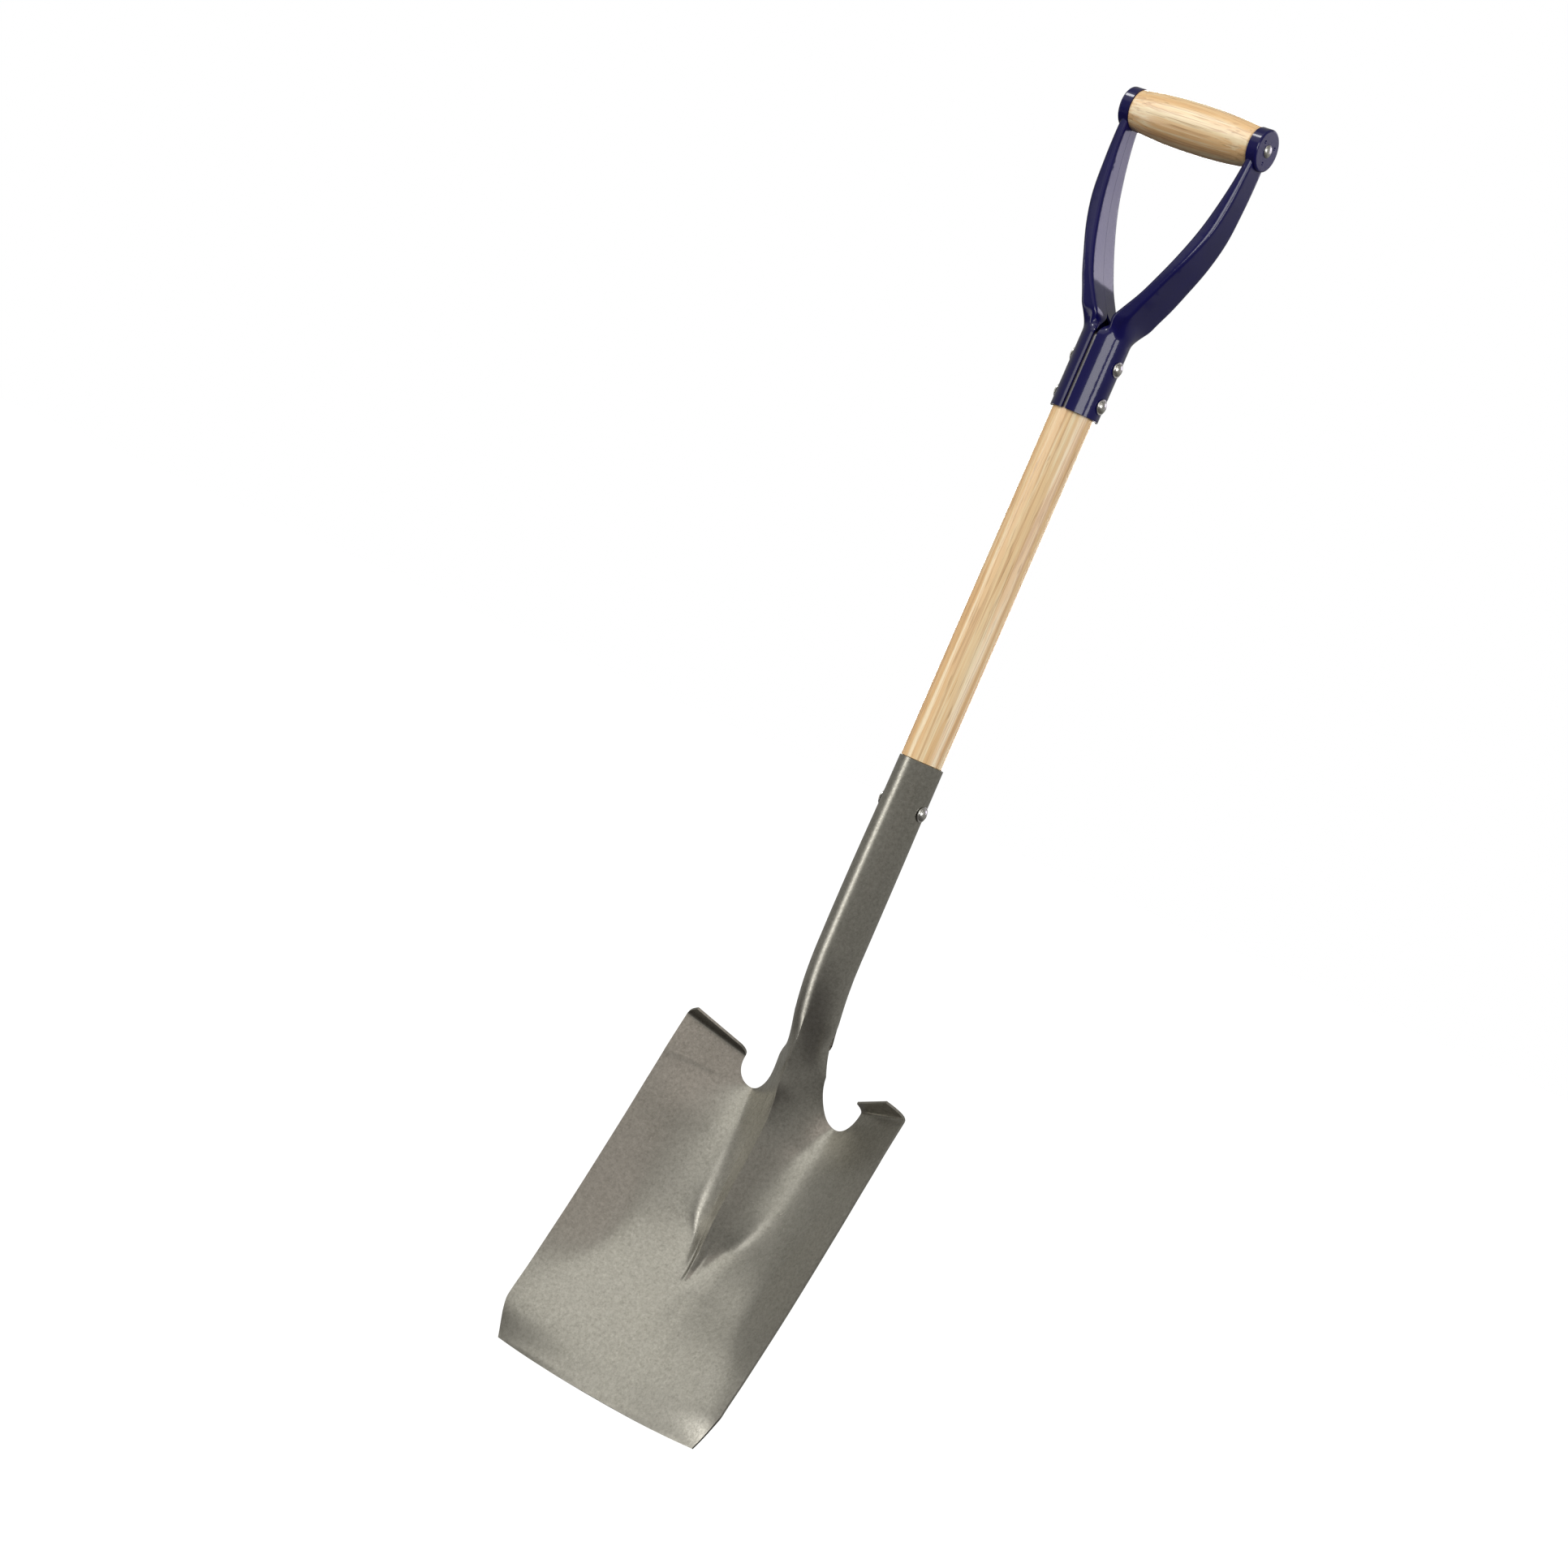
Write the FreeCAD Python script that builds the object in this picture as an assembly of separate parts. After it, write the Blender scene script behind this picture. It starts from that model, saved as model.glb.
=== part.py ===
import FreeCAD, Part
import math
import os

# Square-mouth D-handle shovel, hung up with its shaft upright.  Millimetres.
# Row frame: origin on the underside of the wooden grip bar at mid span, where a
# hook or peg carries the tool.  +Z runs up the shaft, +X along the grip bar to
# the right, and the load side of the blade faces -Y.

# ---- driving dimensions -------------------------------------------------------
GRIP_MID_R = 20.6          # belly of the turned grip bar
GRIP_END_R = 16.9          # grip bar where it meets the cups
GRIP_AXIS_Z = GRIP_MID_R   # the bar's axis above the origin
AXIS_TO_SOCKET = 550.0     # grip bar axis down to the top of the blade socket
SOCKET_Z = GRIP_AXIS_Z - AXIS_TO_SOCKET

SHAFT_R = 18.5             # ash shaft
SHAFT_TOP = 372.0          # domed top of the shaft, above the socket top
SHAFT_DOME = 6.0           # height of its dome
SHAFT_BURIED = 168.0       # length of shaft inside the socket
SHAFT_FOOT_R = 14.0        # foot of the tapered, turned-down end
SHAFT_FIT = 0.15           # play between its neck and the socket
SHAFT_STEP = 0.4           # the full body starts this far above the socket's rim

SHEET = 2.0                # blade steel
SOCKET_R = 18.8            # outside of the socket at its top
BLADE_HALF_W = 111.3       # half the blade's width
HEEL = 298.0               # bottom of the heel notches, below the socket top
FORK = 262.0               # where the socket's legs begin to flare, same datum
BLADE_END = 560.8          # middle of the cutting edge, same datum
EDGE_BOW = 5.0             # the cutting edge's corners sit this much higher

YOKE_SHEET = 1.8           # D-grip yoke steel
FERRULE_R = 20.5           # outside of the yoke's half-round ferrule
FERRULE_BOTTOM = 303.5     # above the socket top
SPLIT = 2.0                # half the gap between the two yoke halves
CUP_FACE_X = 66.1          # outer face of each cup
CUP_R = 17.4
CUP_DEPTH = 9.4
CUP_WALL = 2.0

RIVET_R = 3.2
HOLE_LENGTH = 60.0
RIVET_HEAD_R = 5.2
RIVET_HEAD_H = 2.4
WASHER_R = 6.6
WASHER_T = 1.0
WASHER_ROUND = 0.4
FERRULE_RIVETS = (348.0, 316.0)
SOCKET_RIVET = -38.0
SOCKET_SEAT = 19.0         # half width over the socket where its rivet sits

GRIP_SHOULDER = 1.2        # rounding at the ends of the bar
GRIP_BELLY_POWER = 2.2
TENON_SIDE_GAP = 0.3
TENON_END_GAP = 0.4
GRIP_ROD_R = 3.4
GRIP_ROD_HEAD_R = 5.4
GRIP_ROD_HEAD_H = 2.3
DIMPLE_RING = 10.2         # the cups' three pressed dimples
DIMPLE_R = 1.5
DIMPLE_DEPTH = 1.1

HAIR = 0.05                # clearance left between touching pieces


# ---- small maths --------------------------------------------------------------
def table(stations, x):
    """Smooth curve through (x, y) stations, held flat past both ends."""
    if x <= stations[0][0]:
        return stations[0][1]
    if x >= stations[-1][0]:
        return stations[-1][1]
    last = len(stations) - 1
    for i in range(last):
        x0, y0 = stations[i]
        x1, y1 = stations[i + 1]
        if x <= x1:
            break
    run = x1 - x0
    chord = (y1 - y0) / run
    before = chord
    after = chord
    if i > 0:
        px, py = stations[i - 1]
        back = (y0 - py) / (x0 - px)
        before = (back * run + chord * (x0 - px)) / (run + x0 - px)
    if i < last - 1:
        nx, ny = stations[i + 2]
        ahead = (ny - y1) / (nx - x1)
        after = (chord * (nx - x1) + ahead * run) / (run + nx - x1)
    t = (x - x0) / run
    h00 = 2 * t ** 3 - 3 * t ** 2 + 1
    h10 = t ** 3 - 2 * t ** 2 + t
    h01 = 3 * t ** 2 - 2 * t ** 3
    h11 = t ** 3 - t ** 2
    return h00 * y0 + h10 * run * before + h01 * y1 + h11 * run * after


def ease(x, start, end):
    """0 before start, 1 after end, smooth between."""
    t = min(1.0, max(0.0, (x - start) / (end - start)))
    return t * t * (3 - 2 * t)


def mix(a, b, t):
    return a + (b - a) * t


def spread(start, end, count):
    return [mix(start, end, i / (count - 1.0)) for i in range(count)]


# ---- shared bore ----------------------------------------------------------------
def rivet_bore(height):
    """Bore for a rivet, right across the tool at a height above the socket top."""
    start = FreeCAD.Vector(-0.5 * HOLE_LENGTH, 0, SOCKET_Z + height)
    return Part.makeCylinder(RIVET_R + HAIR, HOLE_LENGTH, start, FreeCAD.Vector(1, 0, 0))


# ---- sheet-metal helper -------------------------------------------------------
def face_grid(point, us, vs):
    """Outer-surface points of a sheet patch and their normals."""
    step = 1e-3
    points = []
    normals = []
    for u in us:
        row = []
        nrow = []
        for v in vs:
            u0 = max(us[0], u - step)
            u1 = min(us[-1], u + step)
            v0 = max(vs[0], v - step)
            v1 = min(vs[-1], v + step)
            du = point(u1, v) - point(u0, v)
            dv = point(u, v1) - point(u, v0)
            n = du.cross(dv)
            n.normalize()
            row.append(point(u, v))
            nrow.append(n)
        points.append(row)
        normals.append(nrow)
    return points, normals


def shifted(points, normals, distance):
    out = []
    for row, nrow in zip(points, normals):
        out.append([p + n * distance for p, n in zip(row, nrow)])
    return out


def clamped_knots(count, degree):
    """Knot vector for interpolating evenly spaced parameters 0..1."""
    steps = count - 1.0
    knots = [0.0] * (degree + 1)
    for j in range(1, count - degree):
        knots.append(sum(j + k for k in range(degree)) / (degree * steps))
    return knots + [1.0] * (degree + 1)


def basis_row(t, knots, count, degree):
    """Values of every B-spline basis function at t."""
    if t >= 1.0:
        return [0.0] * (count - 1) + [1.0]
    values = [1.0 if knots[i] <= t < knots[i + 1] else 0.0 for i in range(len(knots) - 1)]
    for k in range(1, degree + 1):
        for i in range(len(knots) - 1 - k):
            left = knots[i + k] - knots[i]
            right = knots[i + k + 1] - knots[i + 1]
            value = 0.0
            if left > 0:
                value += (t - knots[i]) / left * values[i]
            if right > 0:
                value += (knots[i + k + 1] - t) / right * values[i + 1]
            values[i] = value
    return values[:count]


def poles_through(lines, degree):
    """Poles of the curves through each line of points, one solve for all lines."""
    count = len(lines[0])
    knots = clamped_knots(count, degree)
    matrix = [basis_row(i / (count - 1.0), knots, count, degree) for i in range(count)]
    rights = [list(line) for line in lines]
    for i in range(count):
        pivot = matrix[i][i]
        for j in range(i + 1, min(count, i + degree + 1)):
            factor = matrix[j][i] / pivot
            if factor == 0.0:
                continue
            for k in range(i, min(count, i + degree + 2)):
                matrix[j][k] -= factor * matrix[i][k]
            for right in rights:
                right[j] = right[j] - right[i] * factor
    for i in range(count - 1, -1, -1):
        for right in rights:
            value = right[i]
            for k in range(i + 1, min(count, i + degree + 2)):
                value = value - right[k] * matrix[i][k]
            right[i] = value * (1.0 / matrix[i][i])
    return rights


def spline_face(points):
    """Cubic surface through a grid, spaced evenly so that shared borders agree exactly."""
    degree = 3
    rows = poles_through(points, degree)
    columns = [[row[j] for row in rows] for j in range(len(rows[0]))]
    columns = poles_through(columns, degree)
    poles = [[column[i] for column in columns] for i in range(len(points))]
    knot_sets = []
    mult_sets = []
    for count in (len(points), len(points[0])):
        inner = clamped_knots(count, degree)[degree + 1:-degree - 1]
        knot_sets.append([0.0] + inner + [1.0])
        mult_sets.append([degree + 1] + [1] * len(inner) + [degree + 1])
    surface = Part.BSplineSurface()
    surface.buildFromPolesMultsKnots(poles, mult_sets[0], mult_sets[1], knot_sets[0], knot_sets[1],
                                     False, False, degree, degree)
    return surface


def border(surface, side):
    u0, u1, v0, v1 = surface.bounds()
    if side == "u0":
        return surface.uIso(u0)
    if side == "u1":
        return surface.uIso(u1)
    if side == "v0":
        return surface.vIso(v0)
    return surface.vIso(v1)


def cut_edge(front, back, side):
    """Straight-ruled strip across the sheet's thickness along one open side."""
    a = border(front, side)
    b = border(back, side)
    strip = Part.BSplineSurface()
    strip.buildFromPolesMultsKnots([a.getPoles(), b.getPoles()], [2, 2], a.getMultiplicities(),
                                   [0.0, 1.0], a.getKnots(), False, False, 1, a.Degree)
    return strip.toShape()


def sheet_faces(front, back, open_sides):
    """Both skins of one sheet patch, and the cut edges along its open sides."""
    faces = [front.toShape(), back.toShape()]
    for side in open_sides:
        faces.append(cut_edge(front, back, side))
    return faces


def sewn_solid(faces, tolerance):
    shell = Part.Compound(faces)
    shell.sewShape(tolerance)
    if shell.ShapeType != "Shell":
        shell = shell.Shells[0]
    solid = Part.Solid(shell)
    if solid.Volume < 0:
        solid.reverse()
    return solid


# ---- blade: one stamping with its frog and rolled socket -----------------------
# "d" is the distance below the socket top and x runs outward from the middle.
# Down from the fork a half section has a narrow crest, a facet, a crease, a flank,
# a broad fillet along the channel, the pan, a fold and the turned-up side wall.
SOCKET_CENTRE_Y = ((0, 0), (150, 0), (170, 0.3), (184, 1.3), (198, 3.2), (212, 6.3),
                   (222, 9.0), (234, 12.2), (250, 16.0), (262, 19.0))
SOCKET_RADIUS = ((0, 18.8), (40, 19.0), (85, 19.4), (170, 19.4), (200, 19.2), (219, 19.1),
                 (234, 19.1), (250, 19.4), (262, 20.0))
SOCKET_WRAP = ((0, 176.8), (140, 176.8), (175, 172.0), (205, 158.0), (232, 141.0), (262, 124.0))
SOCKET_FLARE = 2.4         # the socket's edges lean out by this much at the fork
CREST_Y = ((222, -10.3), (239, -7.2), (253, -5.0), (267, -3.2), (281, -1.4), (297, 0.8),
           (313, 2.8), (328, 3.3), (344, 2.4), (359, 0.8), (375, -1.5), (391, -4.6),
           (406, -8.0), (421, -11.6), (436, -14.7), (446, -16.6), (452, -18.2), (460, -20.8),
           (475, -28.4), (497, -41.0), (530, -57.5), (561, -70.5))
FACET_SLOPE = ((262, 1.20), (281, 1.12), (298, 1.0), (313, 0.80), (330, 0.62), (345, 0.54),
               (360, 0.50), (391, 0.47), (406, 0.55), (421, 0.80), (436, 1.0), (446, 0.85),
               (453, 0.45), (462, 0.0))
CREASE_X = ((262, 15.5), (281, 14.9), (298, 14.0), (330, 13.7), (345, 13.0), (360, 12.1),
            (375, 11.2), (391, 10.0), (406, 8.3), (421, 5.8), (436, 4.2), (446, 3.4), (460, 3.0))
CREASE_SOFT = ((262, 0.9), (281, 0.5), (298, 0.3), (345, 0.3), (375, 0.5), (436, 0.35),
               (446, 0.3), (462, 0.0))
CHANNEL_X = ((262, 60.0), (281, 50.0), (298, 43.0), (330, 35.0), (345, 31.8), (360, 28.6),
             (375, 25.4), (391, 22.2), (406, 19.0), (421, 15.8), (436, 12.7), (446, 10.7),
             (456, 9.5), (470, 9.0), (561, 9.0))
CHANNEL_Y = ((262, 54.0), (281, 50.0), (298, 35.4), (330, 24.0), (345, 20.8), (360, 17.4),
             (375, 13.8), (391, 9.6), (406, 5.2), (421, 0.0), (436, -7.0), (446, -12.2),
             (452, -15.4), (460, -20.0), (475, -28.4), (497, -41.0), (530, -57.5), (561, -70.5))
FILLET_SOFT = ((262, 1.4), (298, 3.2), (330, 6.0), (391, 5.6), (415, 3.6), (440, 1.8), (456, 1.4),
               (475, 3.5), (497, 5.0), (561, 4.0))
EDGE_Y = ((262, 6.0), (290, -2.8), (318, -10.7), (348, -18.8), (378, -27.5), (408, -36.4),
          (437, -45.4), (467, -55.5), (497, -65.7), (521, -74.6), (532, -77.4), (556, -78.6))
FOLD_X = ((262, 60.0), (298, 60.0), (330, 67.0), (358, 71.0), (400, 72.0), (450, 71.0),
          (497, 83.0), (530, 96.0), (556, 101.0))
FOLD_Y = ((262, 35.5), (298, 26.0), (330, 10.0), (358, 0.6), (400, -12.0), (450, -29.0),
          (497, -55.6), (530, -71.8), (556, -77.4))
FOLD_SOFT = 1.1
SEAM_X = ((298, 44.0), (330, 37.0), (360, 32.0), (391, 26.0), (421, 18.0), (436, 15.0),
          (456, 12.5), (470, 12.0), (561, 12.0))
MIDDLE_ROUND = 6.0         # keeps the pan smooth across the middle line
CREST_ROUND = ((262, 3.2), (391, 2.6), (421, 1.5), (446, 0.9))
GROOVE = ((262, 0.1), (290, 0.25), (345, 0.2), (380, 0.1), (412, 0.1), (432, 0.7), (446, 0.6),
          (456, 0.0))
GROOVE_HALF_W = 1.5        # the crease's pressed line
FOLD_FADE = 14.0           # the fold's rounding fades in over this much past the seam
CREST_SHARE = 0.55         # spacing of a half section's points, as shares of the
CREST_REACH = 3.4          # crease's distance out: crest, just before the crease,
CREASE_BEFORE = 0.82       # just after it
CREASE_AFTER = 1.22
EDGE_BOW_HALF_W = 103.4    # half the cutting edge's width between its corners
EDGE_BOW_POWER = 2.5
CORNER_POWER = 1.25
LIP_KNEE = 3.5             # radius-like run of the bend at the root of a foot step
LIP_KNEE_SHARE = 0.3
LEG_TOP_HALF_W = 24.2      # half the width over the socket's legs at the fork
LEG_TAPER = 0.24           # above the fork they close by this much per millimetre
HEEL_RISE = 0.30           # the shoulders lean back this much per millimetre of height
BLEND_START = 218.0        # the round socket begins to turn into the frog here
MATCH_START = 100.0        # from here down its points are spaced to suit the frog
LIP_INNER = ((59.8, 277.4), (60.2, 18.0, 269.9))
LIP_OUTER = ((111.3, 264.3), (96.9, -6.2, 256.5))
CORNER_START = 529.0       # the side edges turn in to the bottom corners here
CORNER_RUN = 26.5
CORNER_CUT = 8.0


def on_blade(x, y, d):
    return FreeCAD.Vector(x, y, SOCKET_Z - d)


def soft_lower(a, b, soft):
    """The lesser of two heights, rounded where they cross."""
    return 0.5 * (a + b) - math.sqrt(0.25 * (a - b) ** 2 + soft * soft)


def leg_half_width(d):
    """Free edge of the socket's legs, flaring into the round heel notch."""
    if d >= HEEL:
        return table(SEAM_X, d)
    if d <= FORK:
        return LEG_TOP_HALF_W - LEG_TAPER * (FORK - max(d, BLEND_START))
    drop = (HEEL - d) / (HEEL - FORK)
    wide = SEAM_X[0][1]
    return wide - (wide - LEG_TOP_HALF_W) * math.sqrt(1.0 - (1.0 - drop) ** 2)


def frog_y(x, d):
    """Crest, facet, crease and flank."""
    slope = table(FACET_SLOPE, d)
    crest = table(CREST_Y, d)
    crease_x = table(CREASE_X, d)
    round_r = table(CREST_ROUND, d)
    crease_y = crest + slope * (crease_x - round_r)
    facet = crest + slope * (math.sqrt(x * x + round_r * round_r) - round_r)
    rise = (table(CHANNEL_Y, d) - crease_y) / (table(CHANNEL_X, d) - crease_x)
    flank = crease_y + rise * (x - crease_x)
    groove = table(GROOVE, d) * math.exp(-((x - crease_x) / GROOVE_HALF_W) ** 2)
    return soft_lower(facet, flank, table(CREASE_SOFT, d)) + groove


def blade_y(x, d):
    """The load face from the crest to the side edge."""
    low = max(d, HEEL)
    fold_x = table(FOLD_X, low)
    fold_y = table(FOLD_Y, low)
    fall = (table(CHANNEL_Y, low) - fold_y) / (fold_x - table(CHANNEL_X, low))
    out = math.sqrt(x * x + MIDDLE_ROUND * MIDDLE_ROUND)
    pan = table(CHANNEL_Y, d) - fall * (out - table(CHANNEL_X, d))
    inner = soft_lower(frog_y(x, d), pan, table(FILLET_SOFT, d))
    if x < SEAM_X[-1][1]:
        return inner
    wall = fold_y + (table(EDGE_Y, d) - fold_y) * (x - fold_x) / (BLADE_HALF_W - fold_x)
    soft = FOLD_SOFT * ease(x, SEAM_X[-1][1], table(SEAM_X, low) + FOLD_FADE)
    return soft_lower(inner, wall, soft) + 0.5 * soft


def shoulder_y(x, d):
    """The pan carried on above the heel, beside the notches."""
    low = max(d, HEEL)
    fold_x = table(FOLD_X, low)
    fold_y = table(FOLD_Y, low)
    fall = (table(CHANNEL_Y, low) - fold_y) / (fold_x - table(CHANNEL_X, low))
    lean = (low - d) * HEEL_RISE
    out = math.sqrt(x * x + MIDDLE_ROUND * MIDDLE_ROUND)
    pan = table(CHANNEL_Y, low) + lean - fall * (out - table(CHANNEL_X, low))
    inner = soft_lower(frog_y(x, low) + lean, pan, table(FILLET_SOFT, low))
    fold_x = table(FOLD_X, d)
    fold_y = table(FOLD_Y, d)
    wall = fold_y + (table(EDGE_Y, d) - fold_y) * (x - fold_x) / (BLADE_HALF_W - fold_x)
    soft = FOLD_SOFT * ease(x, SEAM_X[-1][1], SEAM_X[0][1] + FOLD_FADE)
    return soft_lower(inner, wall, soft) + 0.5 * soft


def section_x(q, d):
    """Outward place of q, closer spaced at the crest and the crease."""
    half = leg_half_width(d)
    crease = table(CREASE_X, d)
    near = min(CREST_REACH, CREST_SHARE * crease)
    before = CREASE_BEFORE * crease
    after = min(CREASE_AFTER * crease, 0.5 * (crease + half))
    stations = ((0.0, 0.0), (0.18, near), (0.38, before), (0.58, after), (1.0, half))
    return table(stations, q)


def formed_section(q, d):
    """Frog section: crest to foot."""
    x = section_x(q, d)
    return x, blade_y(x, d)


def rolled_section(q, d):
    """Socket section: front to the rolled edge at the back."""
    radius = table(SOCKET_RADIUS, d)
    wrap = math.radians(table(SOCKET_WRAP, d))
    half = leg_half_width(d)
    pace = section_x(q, d) / half
    lead = half / (radius * wrap)
    matched = pace * (lead + (1.0 - lead) * pace * pace)
    angle = wrap * mix(q, matched, ease(d, MATCH_START, BLEND_START))
    flare = SOCKET_FLARE * ease(d, BLEND_START, FORK) * q ** 3
    x = radius * math.sin(angle) + flare
    y = table(SOCKET_CENTRE_Y, d) - radius * math.cos(angle)
    return x, y


def spine(q, d):
    side = 1.0 if q >= 0 else -1.0
    a = abs(q)
    if d <= BLEND_START:
        x, y = rolled_section(a, d)
    elif d >= FORK:
        x, y = formed_section(a, d)
    else:
        k = ease(d, BLEND_START, FORK)
        rx, ry = rolled_section(a, d)
        fx, fy = formed_section(a, d)
        x = mix(rx, fx, k)
        y = mix(ry, fy, k)
    return on_blade(side * x, y, d)


def edge_half_width(d):
    return BLADE_HALF_W - CORNER_CUT * max(0.0, (d - CORNER_START) / CORNER_RUN) ** CORNER_POWER


def cutting_edge(x):
    return BLADE_END - EDGE_BOW * (abs(x) / EDGE_BOW_HALF_W) ** EDGE_BOW_POWER


def frog_patch(q, t):
    """Frog and the flat below its tip, from heel notch level to the cutting edge."""
    half = table(SEAM_X, mix(HEEL, BLADE_END, t))
    end = cutting_edge(half * q)
    return spine(q, mix(HEEL, end, t))


def pan_patch(side):
    def point(s, t):
        d0 = mix(HEEL, BLADE_END, t)
        half = table(SEAM_X, d0)
        x = mix(half, edge_half_width(d0), s)
        end = cutting_edge(x)
        d = mix(HEEL, end, t)
        return on_blade(side * x, blade_y(x, d), d)
    return point


def leg_patch(q, t):
    """Flaring legs beside the heel notches; t runs down from the fork."""
    up = 1.0 - t
    crest_d = mix(HEEL, FORK, up)
    edge_d = HEEL - (HEEL - FORK) * (1.0 - math.cos(0.5 * math.pi * up))
    d = mix(crest_d, edge_d, q * q)
    return spine(q, d)


def heel_patch(side):
    """Shoulder between a heel notch and the side edge; t runs up to the step."""
    def point(s, t):
        turn = 0.5 * math.pi * t
        inner_x = mix(SEAM_X[0][1], LIP_INNER[0][0], math.sin(turn))
        inner_d = HEEL - (HEEL - LIP_INNER[0][1]) * (1.0 - math.cos(turn))
        outer_d = mix(HEEL, LIP_OUTER[0][1], t)
        x = mix(inner_x, BLADE_HALF_W, s)
        d = mix(inner_d, outer_d, s)
        return on_blade(side * x, shoulder_y(x, d), d)
    return point


def lip_patch(side):
    """Foot step turned forward along the top of the shoulder; t runs outward."""
    heel = heel_patch(side)
    ahead = on_blade(side * LIP_INNER[1][0], LIP_INNER[1][1], LIP_INNER[1][2])
    corner = on_blade(side * LIP_OUTER[1][0], LIP_OUTER[1][1], LIP_OUTER[1][2])

    def point(s, t):
        root = heel(s, 1.0)
        below = heel(s, 0.97)
        along = root - below
        along.normalize()
        brim = ahead + (corner - ahead) * s
        rise = brim - root
        knee = root + along * min(LIP_KNEE, LIP_KNEE_SHARE * rise.Length)
        a = root + (knee - root) * t
        b = knee + (brim - knee) * t
        return a + (b - a) * t
    return point


def match_rows(grid_a, row_a, grid_b, row_b, columns):
    """Give two patches the same points along their shared seam."""
    for ca, cb in columns:
        grid_a[row_a][ca] = grid_b[row_b][cb]


def build_blade():
    q_all = spread(-1.0, 1.0, 57)
    s_all = spread(0.0, 1.0, 13)
    rows_socket = spread(0.0, FORK, 34)
    rows_leg = spread(0.0, 1.0, 9)
    rows_low = spread(0.0, 1.0, 46)
    rows_heel = spread(0.0, 1.0, 8)
    rows_lip = spread(0.0, 1.0, 6)

    patches = {}
    patches["socket"] = face_grid(lambda d, q: spine(q, d), rows_socket, q_all)
    patches["leg"] = face_grid(lambda t, q: leg_patch(q, t), rows_leg, q_all)
    patches["frog"] = face_grid(lambda t, q: frog_patch(q, t), rows_low, q_all)
    for name, side in (("left", -1.0), ("right", 1.0)):
        pan = pan_patch(side)
        heel = heel_patch(side)
        lip = lip_patch(side)
        patches["pan_" + name] = face_grid(lambda t, s: pan(s, t), rows_low, s_all)
        patches["heel_" + name] = face_grid(lambda t, s: heel(s, t), rows_heel, s_all)
        patches["lip_" + name] = face_grid(lambda t, s: lip(s, t), rows_lip, s_all)

    outer = {}
    inner = {}
    for name, (points, normals) in patches.items():
        back = 1.0
        if normals[len(normals) // 2][len(normals[0]) // 2].y < 0:
            back = -1.0
        outer[name] = points
        inner[name] = shifted(points, normals, back * SHEET)

    for skin in (outer, inner):
        full = range(len(q_all))
        match_rows(skin["leg"], 0, skin["socket"], -1, [(c, c) for c in full])
        match_rows(skin["leg"], -1, skin["frog"], 0, [(c, c) for c in full])
        cols = range(len(s_all))
        for name, edge in (("left", 0), ("right", -1)):
            pan = skin["pan_" + name]
            frog = skin["frog"]
            for row in range(len(rows_low)):
                pan[row][0] = frog[row][edge]
            skin["heel_" + name][0] = list(pan[0])
            match_rows(skin["lip_" + name], 0, skin["heel_" + name], -1, [(c, c) for c in cols])

    # u runs along the rows' index, v across each row
    sides = {
        "socket": ("u0", "v0", "v1"),
        "leg": ("v0", "v1"),
        "frog": ("u1",),
        "pan_left": ("u1", "v1"),
        "pan_right": ("u1", "v1"),
        "heel_left": ("v0", "v1"),
        "heel_right": ("v0", "v1"),
        "lip_left": ("u1", "v0", "v1"),
        "lip_right": ("u1", "v0", "v1"),
    }
    faces = []
    for name, open_sides in sides.items():
        faces.extend(sheet_faces(spline_face(outer[name]), spline_face(inner[name]), open_sides))
    return sewn_solid(faces, 0.05)


# ---- D-grip yoke half: ferrule half, box arm and cup -----------------------------
# heights are above the socket top
ARM_OUT_X = ((370, 20.5), (384, 22.4), (394, 26.4), (409, 33.5), (424, 40.0), (448, 50.4),
             (472, 58.0), (497, 61.6), (521, 62.9), (540, 63.4))
ARM_IN_X = ((370, 2.0), (384, 6.5), (394, 13.0), (409, 22.5), (424, 29.6), (448, 38.8),
            (472, 46.0), (497, 51.2), (521, 54.8), (540, 56.4))
ARM_WIDTH = ((370, 41.0), (394, 43.5), (412, 44.0), (424, 43.0), (448, 38.5), (472, 33.5),
             (497, 29.6), (521, 26.6), (540, 24.0))
ARM_START = 368.0          # the half-round ferrule begins to turn into the box arm
ARM_FORMED = 389.0
ARM_TOP = 537.0
FRONT_CORNER = ((400, 3.0), (448, 3.6), (497, 5.0), (541, 5.0))
BACK_CORNER = 3.5
BACK_CORNER_SHARE = 0.46
SEAM_GAP_HALF = 0.12       # the box's folded edges nearly meet along its inner face
WEB_END = 0.34             # shares of the half section: web, front corner, side,
FRONT_CORNER_END = 0.48    # back corner, then the inner face up to the seam
SIDE_END = 0.58
BACK_CORNER_END = 0.70
CUP_TUCK = 0.5             # the arm's end stops this far inside the cup's rim
CUP_LIFT_START = 0.8
CUP_BRIM_R = 1.6
DIMPLE_TIP_R = 0.5
DIMPLE_TURNS = (30.0, 150.0, 270.0)


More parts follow.
